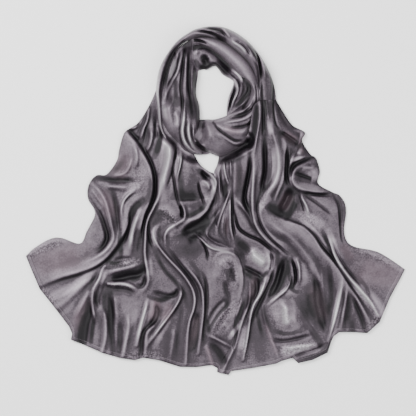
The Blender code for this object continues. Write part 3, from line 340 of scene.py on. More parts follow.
RIGHT_FOLDS = (
    Fold("strand ridge", 4, 2, 3, (259, 100, 259.7, 108, 259.4, 120, 257.2, 134, 254.8, 148,
        252.3, 162), 0.9, 0.1),
    Fold("strand groove", -6, 2, 2, (262.6, 100, 263.2, 112, 263, 126, 262, 140), 0.9),
    Fold("strand fold", 4, 2, 3, (267, 100, 267.5, 112, 268.5, 124), 0.8),
    Fold("shoulder crease", -5, 2, 3, (273, 100, 273.6, 112, 275.5, 124, 280, 131), 0.8),
    Fold("shoulder swell", 4, 5, 5, (280, 106, 286, 118, 294, 129), 0.5),
    Fold("inner gather", 6, 2, 3, (224.5, 158, 224, 168, 226, 178, 229.5, 188)),
    Fold("outer gather", 5, 2, 3, (230, 158, 230.5, 168, 231, 180)),
    Fold("inner groove", -4, 2, 2, (221.5, 162, 220.5, 174, 221.5, 188, 223, 200)),
    Fold("hem side ridge", 4, 2, 2, (219, 172, 219.5, 184, 219.5, 196)),
    Fold("left rib", 7, 3, 3, (231, 188, 225.5, 203, 220.5, 216, 217.5, 228, 218, 238)),
    Fold("rib groove", -4, 2, 3, (228, 204, 225.5, 216, 224.5, 228, 225, 241)),
    Fold("right rib", 6, 3, 3, (230.5, 198, 230, 213, 230.8, 229, 235, 246)),
    Fold("pocket rim", 4, 2, 3, (223, 202, 221.5, 207, 218, 212.5, 213, 221, 207.5, 231, 208, 237,
        216, 242.5, 225, 246, 233, 250), 0.2, 0.2),
    Fold("upright crease", -7, 2, 2, (232, 188, 232.3, 206, 233, 224, 235.5, 242)),
    Fold("leaf dome", 6, 3, 9, (233, 199, 240, 205, 247, 214, 251.5, 223, 256, 232)),
    Fold("leaf crease", -8, 3, 2, (232.7, 202, 235, 216, 239, 228, 248, 235, 260, 240.5, 271, 249.5,
        279, 258)),
    Fold("first panel", 3.5, 2, 14, (234.5, 160, 234, 175, 233.6, 189, 234.5, 198), 0.3),
    Fold("first valley", -10, 5, 3, (250, 148, 250, 166, 247.5, 182, 245, 197, 247, 207, 250, 217)),
    Fold("first ridge", 8, 3, 6, (255, 150, 253.8, 166, 252.6, 182, 251.8, 200, 253, 215, 257.5, 229,
        267, 240.5, 280, 251.5, 291, 262)),
    Fold("second valley", -9, 5, 4, (265, 136, 265, 152, 265, 170, 262.5, 184, 259, 197), 0.3),
    Fold("second crease", -6, 2, 2.5, (260, 191, 257.8, 203, 257.8, 214, 262, 227, 270, 238, 282, 249,
        293, 258)),
    Fold("tube ridge", 10, 9, 8, (270, 118, 274, 134, 277.5, 150, 279, 166, 276.5, 180, 270, 191, 265, 202,
        264, 213), 0.3),
    Fold("tube rim", 5, 2, 2, (284, 152, 285, 166, 282.5, 181, 277.5, 194, 273.5, 205)),
    Fold("wedge hollow", -14, 8, 8, (291, 189, 285, 202, 279, 212)),
    Fold("long lap", 9, 24, 2, (269, 211, 281, 218.3, 291, 222, 303, 227, 313, 236, 321, 248, 330.5, 258.5,
        338.5, 269, 347, 282.5, 356.5, 297, 366, 310), 0.2, 0.2),
    Fold("lap shade", -3.5, 2, 4, (303, 225, 315, 235, 323, 247, 333, 259, 341, 271)),
    Fold("slope ridge", 6, 10, 9, (264, 215, 275, 227, 290, 237, 302, 250, 311, 264, 315, 280)),
    Fold("long hollow", -9, 7, 6, (313, 268, 317, 285, 318, 302, 322, 318, 326, 336)),
    Fold("hollow line", 1.5, 2, 3, (320, 266, 322, 280, 323.5, 296, 326, 312)),
    Fold("curled rim", 6, 2, 2, (302.5, 132, 299.5, 141, 296, 151, 291, 162, 288.6, 174, 290.5, 184,
        297, 191), 0.5),
    Fold("corner shade", -7, 6, 3, (280, 131, 289, 137, 298, 143.5), 0, 0.3),
    Fold("corner tab", 5, 3, 3, (304, 134, 301.5, 140, 299.5, 146), 0.8, 0.3),
    Fold("rim swell", 5, 4, 6, (301, 148, 298, 156)),
    Fold("outer valley", -11, 3, 3, (287.5, 147, 286.5, 160, 286, 174, 287.5, 186), 0.2),
    Fold("loop lap", 8, 2, 12, (313, 159, 303.5, 163.5, 295, 168.5, 292, 174.5, 291.7, 181, 296, 187.5,
        306, 191.5, 321, 192.5, 334, 191), 0.5, 0.3),
    Fold("loop slot", -6, 2, 2, (293.5, 173.5, 301, 175.5, 311, 179), 0.2, 0.8),
    Fold("loop shade", -9, 3, 2, (288.5, 177, 290.5, 169, 298.5, 162, 312, 157), 0, 0.3),
    Fold("loop swell", 4, 4, 5, (300, 169, 309, 168, 317, 168), 0, 0.3),
    Fold("ray groove", -4, 2, 2, (297.5, 191, 301, 200, 305, 213)),
    Fold("ray ridge", 7, 2, 3, (300, 196, 305.5, 205, 309, 217)),
    Fold("left ray", 2, 2, 6, (296.5, 193, 295, 205, 291.5, 219)),
    Fold("long ray", -3, 2, 5, (301, 192.5, 311, 199.5, 322, 207.5, 335, 217)),
    Fold("upper ray", -5, 2, 3, (302, 191.5, 316, 195, 330, 195.5), 0, 0.3),
    Fold("edge crease", -6, 2, 2, (333, 193, 338.5, 205, 340, 221, 341.5, 237, 344.5, 247), 0.3),
    Fold("leaf ridge", 9, 3, 4, (328, 232, 330.5, 243, 335, 257, 342, 268, 351, 280, 360, 290, 369.5, 301,
        378, 316), 0, 0.5),
    Fold("leaf groove", -5, 2.5, 2, (333, 240, 337, 252, 343, 263.5, 352, 275.5, 361, 285), 0, 0.3),
    Fold("twin one", 8, 2.5, 3, (343, 274, 341, 288, 338, 304, 334, 320, 328, 342), 0, 0.4),
    Fold("twin two", 6, 2, 3, (347, 284, 345.5, 297, 343, 312, 340.5, 329), 0, 0.4),
    Fold("twin groove", -5, 2, 2, (344.5, 284, 342.5, 297, 339.5, 312, 336.5, 328), 0, 0.4),
    Fold("twin shade", -3.5, 3, 6, (348, 288, 349, 305, 345, 328), 0, 0.5),
    Fold("corner crease", -6, 2.5, 4, (350, 291, 356, 306, 361, 318, 365, 331), 0, 0.5),
    Fold("corner fan", 4, 3, 3, (353, 292, 362, 308, 370, 324), 0, 0.6),
    Fold("hem diagonal", 1.5, 10, 2.5, (289, 292, 297, 306, 308, 324, 319, 338, 325, 350), 0, 0.3),
    Fold("slot", -10, 2, 2, (291, 257, 294.5, 268, 295.5, 280, 293, 289)),
    Fold("slot rim", 6, 2, 2, (291.5, 273, 289.5, 283, 285.5, 290, 277, 297, 268, 305), 0, 0.2),
    Fold("slot edge", 6, 2, 4, (296, 257, 298.8, 270, 299, 286)),
    Fold("deep bay", -12, 6, 5, (284, 257, 280, 271, 275.5, 285, 267, 300)),
    Fold("hem bulge", 8, 10, 9, (287, 299, 286, 315, 289, 331)),
    Fold("hem shine", 4, 6, 6, (281, 350, 295, 347, 310, 345, 320, 342), 0, 0.3),
    Fold("hem dip", -5, 3, 3, (268, 338, 282, 341, 300, 338, 314, 334)),
    Fold("bottom crease", -6, 2, 3, (292, 357, 304, 353, 316, 349.5, 326, 344), 0.2, 0.2),
    Fold("round bulge", 9, 10, 9, (249, 252, 258, 258.5, 267, 266)),
    Fold("bulge edge", -7, 2.5, 2.5, (270, 250, 272, 262, 269, 273)),
    Fold("bulge shade", -9, 4, 3, (242.5, 266, 254, 271.5, 264, 277)),
    Fold("narrow bay", -10, 4, 4, (256, 276, 257, 290, 253.5, 301)),
    Fold("narrow ridge", 10, 2.5, 2.5, (268, 270, 264.5, 283, 260, 294, 254, 304, 251, 314, 249, 326,
        247, 340, 243, 360), 0, 0.5),
    Fold("narrow shade", -9, 2.5, 5, (274, 262, 272, 276, 267, 288.5, 261, 300, 255.5, 312, 253, 326)),
    Fold("hem line", 3, 2, 3, (262, 300, 264, 318, 270, 336, 276, 352, 279, 362), 0, 0.6),
    Fold("tip groove", -8, 3, 3, (245, 298, 241, 312, 237, 323, 236.5, 334, 233.5, 347), 0, 0.5),
    Fold("tip strip", 6, 3, 4, (249, 272, 250, 290, 248.5, 304, 243, 318, 238.5, 332, 233.5, 348, 227, 362,
        222, 373), 0, 0.6),
)

# Pleats of the wound stretches

TOP_FOLDS = (
    Fold("outer crease", -6, 3, 4, (200, 30, 212, 30.3, 219, 31.2, 224, 34.5, 229, 39.5)),
    Fold("middle crease", -6, 3, 4, (195, 32, 205, 33, 213, 35.5, 221, 40, 229, 44.5)),
    Fold("middle pleat", 4, 3, 3, (193, 34.5, 203, 35, 212, 37, 220, 40)),
    Fold("back pleat", 4, 3, 3, (196, 30, 206, 30.6, 214, 33, 222, 37.5)),
    Fold("first streak", 6, 3, 3, (222.5, 29, 227, 35, 231, 40)),
    Fold("second streak", 6, 3, 5, (231, 42.5, 238, 46.5, 243, 51, 247, 58)),
    Fold("streak shade", -4, 4, 4, (231, 40, 237, 43, 245, 49, 251, 58)),
    Fold("third streak", 1, 3, 3, (237, 40, 241, 46, 248, 54)),
    Fold("shoulder crease", -11, 2.5, 2.5, (252, 49, 256.5, 55, 259, 62, 260.4, 71, 261, 83), 0, 0.1),
    Fold("shoulder edge", 4, 2, 3, (258.5, 55, 262, 63, 264, 72, 265, 84), 0, 0.2),
    Fold("outer panel", 2, 6, 6, (266, 66, 269, 76, 270, 88, 270, 100), 0, 0.8),
    Fold("inner panel line", -4, 2.5, 2.5, (251, 58, 256.5, 68, 258.5, 78, 260, 92, 260, 100), 0, 0.6),
    Fold("rim", 4, 3, 3, (166, 139, 161.5, 130, 159.8, 118, 159, 104, 158.4, 92, 160.5, 76), 0.5),
    Fold("rim groove", -5, 3, 5, (162.5, 106, 161.5, 92, 163, 79, 167, 65, 173, 53, 181, 45), 0.4),
    Fold("strand groove", -5, 2, 2, (261, 82, 262, 91, 262.6, 101), 0.2, 0.9),
    Fold("strand ridge", 5, 2, 3, (259, 88, 259.3, 94, 259, 101), 0.2, 0.9),
    Fold("panel crease", -4, 2, 3, (270, 74, 272.5, 84, 273.2, 93, 273.2, 101), 0.2, 0.9),
)
LEFT_BAND_FOLDS = (
    Fold("first strand", 6, 4, 5, (178.5, 54, 174.5, 64, 172, 73, 169.5, 84)),
    Fold("first groove", -6, 2.5, 3, (181.5, 49, 178.5, 60, 175.5, 72, 170, 83, 166, 92)),
    Fold("second strand", 6, 3, 4, (183.5, 47, 180.5, 60, 177.5, 72, 172, 82, 167, 92, 163, 103), 0, 0.5),
    Fold("third groove", -6.5, 3, 3, (186, 45, 184, 58, 182.5, 72, 181, 88, 182.5, 100, 182.8, 111,
        181, 124)),
    Fold("third strand", 3.4, 4, 3, (188, 46, 186.5, 60, 186, 76, 185.5, 90, 187, 103)),
    Fold("fourth groove", -5, 2.5, 3, (190, 47, 189, 62, 188.7, 78, 189.5, 92, 191.5, 106, 192, 118)),
    Fold("fourth strand", 4, 3, 4, (193, 60, 192.5, 76, 192.5, 90, 195, 103)),
    Fold("lower bulge", 6, 14, 8, (168, 97, 169, 112, 172, 126, 178, 137)),
    Fold("bulge crest", 4, 5, 5, (176, 110, 177.5, 120, 178, 131)),
    Fold("bulge hollow", -2.5, 7, 6, (177, 78, 177, 90, 178.5, 101)),
    Fold("bright ridge", 9, 3, 3, (184.3, 105, 184.3, 118, 182.5, 131, 184.5, 141, 190, 149,
        197, 154), 0.2, 0.4),
    Fold("ridge groove", -2.5, 2.5, 2.5, (181, 120, 180.7, 134, 182.5, 144, 188.5, 151.5), 0, 0.3),
    Fold("second ridge", 8, 4, 3, (190, 118, 188.8, 130, 190.5, 140, 195, 147.5, 201, 153), 0, 0.4),
    Fold("second groove", -3, 2.5, 2.5, (186.7, 112, 186, 128, 187.6, 140, 193.5, 150), 0, 0.3),
    Fold("inner ridge", 5, 2.5, 2.5, (194, 124, 193.6, 134, 196, 142, 203, 148), 0, 0.2),
    Fold("inner groove", -4, 2.5, 2.5, (192.5, 122, 191.8, 134, 194.3, 144, 201, 151)),
)
FRONT_FOLDS = (
    Fold("main crease", -7, 2.5, 2.5, (213.5, 123, 220, 131, 228, 137, 236, 141.3, 246, 140.5), 0.3),
    Fold("crease lip", 5, 3, 4, (216, 130, 226, 138.5, 236, 144, 247, 141.5)),
    Fold("lens", 3, 6, 6, (222, 127, 233, 132, 244, 132, 252, 126)),
    Fold("lens groove", -5.5, 3, 2.5, (228, 127.6, 240, 127.6, 248, 125, 254, 119, 257.5, 112)),
    Fold("upper pleat", 3.4, 3, 4, (217, 122, 229, 122, 241, 120.5, 250, 116, 256.5, 108, 258, 98)),
    Fold("upper groove", -5, 2.5, 3, (228, 119.5, 238, 116.8, 247, 113.4, 253, 108, 255, 100)),
    Fold("inner pleat", 4.2, 2.5, 2.5, (226, 118, 234, 114, 243, 111, 250, 105, 253, 96)),
    Fold("inner groove", -6, 2.5, 3, (250.5, 93, 247, 101, 243.5, 106.5, 242.8, 113)),
    Fold("edge pleat", 4, 2, 2, (251, 88, 249, 96, 242, 104.5, 232, 111.5)),
    Fold("side line", -4, 2.5, 2.5, (254.5, 82, 256.5, 92, 256, 104, 252, 112)),
    Fold("front swell", 3, 18, 14, (204, 130, 215, 140, 227, 149)),
    Fold("lower rim", 3, 3, 3, (196, 139, 204, 147, 213, 153.5)),
    Fold("top flap", 4, 2, 2, (190, 44.5, 196, 42.6, 204, 44.6, 212, 49)),
    Fold("top flap groove", -7, 2.5, 2.5, (191, 42, 196, 40.6, 202, 42, 208, 45), 0.5),
    Fold("top panel swell", 2, 13, 13, (205, 41, 220, 49, 235, 61, 247, 75)),
)
BACK_FOLDS = (
    Fold("round hollow", -9, 8, 8, (205, 59, 206, 62), 0.8, 0.8),
    Fold("hollow rim", 2.5, 4, 4, (193, 65, 194, 55, 200, 51, 208, 51, 215, 56, 217, 64)),
    Fold("bright curl", 7, 2.5, 3, (231, 70, 237, 74, 241, 79, 243.5, 85)),
    Fold("curl groove", -5, 2.5, 2.5, (229, 73, 235, 78, 239, 83, 240, 90)),
    Fold("light strip", 6, 2.5, 2.5, (234, 79, 237.3, 86, 237.5, 93, 233, 103, 230.6, 113)),
    Fold("strip groove", -7, 2.5, 2.5, (234.5, 84, 234.3, 92, 230.8, 102, 228.3, 113)),
    Fold("edge strip", 4, 2.5, 2, (231, 91, 228.7, 102, 227, 113)),
    Fold("inner panel", 4, 4, 4, (242, 84, 241.5, 92, 237, 101)),
    Fold("dark strip", -8, 3, 3, (246, 80, 248, 90, 243, 99, 234, 109)),
)

# Hidden margins pressed flat under a neighbour, and the levels at which a stretch rests on one

LEFT_PRESSED = (
    Zone("under the left stretch", 4.0, 11, (
        (157, 86), (160, 94), (162, 104), (165, 120), (171, 131), (180, 140), (186, 147), (195, 153))),
)
RIGHT_PRESSED = (
    Zone("under the front stretch", 4.0, 10, ((219, 153), (228, 149), (238, 144), (243.5, 141))),
)
RIGHT_LIFTED = (
    Zone("over the front stretch", 18.0, 12, ((251, 131), (252.5, 118), (254, 104), (262, 98))),
)
LEFT_BAND_PRESSED = (
    Zone("under the rim", 8.0, 8, ((162, 100), (162.5, 86), (167, 67), (170, 58))),
    Zone("under the top stretch", 12.0, 10, ((171, 54), (176, 47), (184, 42), (194, 38))),
    Zone("under the front stretch", 4.0, 6, ((200, 144), (205, 147.5), (211, 152))),
)
FRONT_PRESSED = (
    Zone("under the left stretch", 8.0, 15, ((194, 119), (194, 128), (194.5, 134))),
    Zone("under the top and left stretches", 10.0, 5, ((186, 42), (190, 42), (192, 43))),
    Zone("under the right end", 12.0, 3, ((260, 106), (257, 122), (250, 137))),
)
BACK_PRESSED = (
    Zone("under the top stretch", 8.0, 12, (
        (188, 50), (193, 43), (202, 41), (212, 44), (222, 53), (232, 62), (241, 71), (251, 83))),
    Zone("under the left stretch", 8.0, 12, ((188, 50), (190, 63), (192.5, 77))),
    Zone("under the front stretch", 8.0, 12, ((252, 86), (248, 99), (241, 109), (233, 118), (226, 119))),
)
TOP_RESTS = (
    Zone("on the left end", 4.3, 20, ((166, 140), (160, 125), (159, 108), (159, 96))),
)
LEFT_BAND_RESTS = (
    Zone("on the left end", 4.3, 20, ((160, 94), (165, 120), (180, 140), (187, 146), (190, 149))),
    Zone("on the front stretch", 8.3, 19, ((195, 118), (195, 128), (193, 133))),
    Zone("on the back stretch", 8.3, 22, ((191, 40), (192, 63), (193, 77))),
)
FRONT_RESTS = (
    Zone("on both ends", 4.3, 20, ((198, 139), (209, 150), (219, 155), (228, 152), (240, 146))),
    Zone("on the back stretch", 8.3, 26, ((252, 84), (248, 99), (241, 109), (233, 116), (226, 117))),
)

# Painted light and shade of the wound stretches, then of both ends: streaks painted brighter or darker where
# no fold makes that sheen or shade. Grains are where it is crushed rough, blushes where it looks redder.

TOP_PAINTED_SHADES = (
    shade("left rim light", 8, 3.4, 2.5, (166, 140, 161, 131, 159.4, 120, 158.6, 108, 157.5, 96, 157.5, 86,
        160, 72, 165, 59), 0.8, 0),
    shade("left side shade", -10, 3.4, 5.1, (163, 96, 164, 84, 166, 72, 170, 60, 176, 50, 184, 43), 0, 0.7),
    shade("top edge", -4.5, 6, 5, (162, 62, 170, 49, 183, 35, 197, 27.5, 212, 25, 229, 27.5, 248.5, 40,
        264.5, 59, 275, 82, 278, 100), 0.3, 0.6),
    shade("crease shade", -5, 4.2, 4.2, (204, 31.5, 214, 33, 222, 38, 230, 44), 0, 0),
    shade("streak light", 9, 5, 6, (229, 41, 236, 47, 242, 52, 247, 58), 0.2, 0),
    shade("shoulder shade", -6, 4, 5, (250, 50, 255, 58, 259, 68, 260.5, 80), 0, 0.2),
    shade("outer shade", -6, 9, 11, (266, 66, 268, 80, 268.5, 90, 268.5, 101), 0.3, 1),
    shade("shoulder edge dark", -7, 4, 4, (246, 43, 252, 51, 257, 60)),
    shade("outer edge dark", -10, 4, 4, (267, 64, 272, 77, 273.5, 90)),
    shade("inner side dark", -4, 4, 4, (226, 46, 238, 56, 245, 72, 246, 90)),
)
LEFT_BAND_PAINTED_SHADES = (
    shade("rim shadow", -13, 6, 5.6, (181, 43, 174.5, 51, 167.5, 66, 165, 80, 163.5, 93), 0.7, 0),
    shade("first strand light", 6, 4, 4, (177, 58, 172.5, 70, 170, 82), 0, 0),
    shade("strand shade", -4.5, 7, 7, (176, 78, 176.5, 92, 176, 104), 0, 0.5),
    shade("gathered strands", -5, 7.6, 7.6, (187, 48, 187, 64, 187, 80, 188, 98, 191, 116), 0.4),
    shade("bulge light", 4, 4.2, 4.2, (178, 113, 178.5, 121, 178, 130), 0.2, 0.2),
    shade("bulge edge light", 6, 4, 5.1, (163, 102, 164, 112, 166, 122), 0, 0),
    shade("ridge light", 11, 4, 4, (184, 110, 184, 122, 182.5, 133, 186, 144, 193, 152), 0, 0.4),
    shade("second ridge light", 10, 4, 4, (190, 120, 189, 132, 192, 143, 199, 151), 0),
    shade("top gather shade", -8, 5.1, 5.1, (185, 43, 185, 50, 186, 60), 0.8, 0),
    shade("wall shade", -9, 5.1, 6.8, (191.5, 62, 193.5, 80, 194, 94, 196, 106, 198, 118,
        199, 128), 0.4, 0.8),
    shade("wall foot", -5, 3.4, 3.4, (191, 96, 192, 108, 193.5, 118), 0, 0.5),
    shade("bulge plain", -1.2, 12, 10, (172, 102, 172, 110, 174, 118), 0.4),
    shade("corner gather shade", -8, 6, 5, (189, 40, 190.5, 45, 191, 52), 1),
    shade("upper bulge dark", -5, 10, 11, (168, 99, 178, 102, 192, 110), 0.5, 0.5),
    shade("wall side dark", -4, 5, 5, (189, 102, 191, 112, 193, 121)),
)
FRONT_PAINTED_SHADES = (
    shade("eye dark", -11, 3.4, 3.4, (195, 141, 200, 146.5, 207, 150.5), 0.5, 0.5),
    shade("left shadow", -10, 3.4, 7.6, (199, 117, 201, 122, 200.5, 130), 0.8),
    shade("hole edge light", 4, 3.4, 4.2, (212, 121, 222, 119.5, 230, 117, 238, 114), 0, 0),
    shade("corner shadow", -9, 5.1, 5.1, (236, 142.5, 243, 146, 249, 139, 254, 129), 0, 0),
    shade("inner shadow", -7, 4.2, 4.2, (248, 103, 246, 109, 244, 115, 236, 118), 0, 0),
    shade("side shadow", -7, 3.4, 2.5, (257, 114, 254, 124, 249, 134), 0, 0),
    shade("lens shade", -3, 4.2, 4.2, (234, 125, 243, 125, 251, 120), 0, 0),
    shade("top flap shadow", -10, 3.4, 3.4, (191, 42, 198, 41, 204, 44), 0.8, 0),
    shade("inner edge shadow", -2, 2, 4, (196, 48, 206, 48, 217, 55, 228, 65), 0, 0),
    shade("lower gap shadow", -9, 3.4, 3.4, (194, 136, 198, 143, 206, 151), 0, 0),
    shade("end shadow", -10, 7, 5, (186, 41, 190, 44, 195, 47, 200, 47.5), 1, 0.5),
    shade("top panel plain", 2.2, 9, 9, (209, 42, 223, 50, 237, 61, 250, 77), 0.4),
    shade("front plain", -1.6, 12, 11, (204, 133, 216, 140, 229, 145), 0.6),
    shade("panel plain dark", -2, 8, 8, (207, 138, 214, 139, 223, 141), 0.4, 0.4),
)
FRONT_BLUSHES = (
    shade("lens blush", 5, 6, 6, (222, 126, 232, 131, 244, 132), 0, 0),
)
BACK_PAINTED_SHADES = (
    shade("hollow shadow", -12, 7.6, 7.6, (204, 59, 206, 63), 0.9, 0.9),
    shade("hollow foot", -8, 3.4, 5.1, (198, 68, 205, 68, 212, 64), 0, 0),
    shade("upper shadow", -13, 6, 5, (190, 49, 197, 47.5, 205, 47.5, 213, 51.5, 222, 58, 232, 68), 1, 0),
    shade("dark run", -12, 7, 11, (218, 57, 223, 64, 228, 70, 233, 73), 0.3, 0),
    shade("curl light", 7, 2.5, 2.5, (233, 71, 239, 76, 243, 84), 0, 0),
    shade("lip light", 6, 3.4, 3.4, (231, 78, 236, 82, 238, 90), 0, 0),
    shade("strip light", 4, 2.1, 2.1, (237, 88, 234, 101, 231, 111), 0, 0),
    shade("right shadow", -14, 4.2, 4.2, (245, 77, 248.5, 84, 248, 93, 241, 102, 233, 110), 0, 0),
    shade("strip shadow", -8, 2.5, 2.5, (234, 86, 233, 94, 229.5, 106, 228, 114), 0, 0),
    shade("curl plain", -1, 4, 4, (195, 63, 195.5, 56, 201, 52.5, 209, 52.5), 0.4, 0.4),
    shade("inner edge dark", -11, 5, 5, (196, 62, 201, 67, 214.5, 64.5, 219, 67.5, 231, 78), 0.8, 0.2),
    shade("inner panel dark", -8, 4, 4, (242, 66, 244, 80, 243.5, 92, 240, 99)),
)

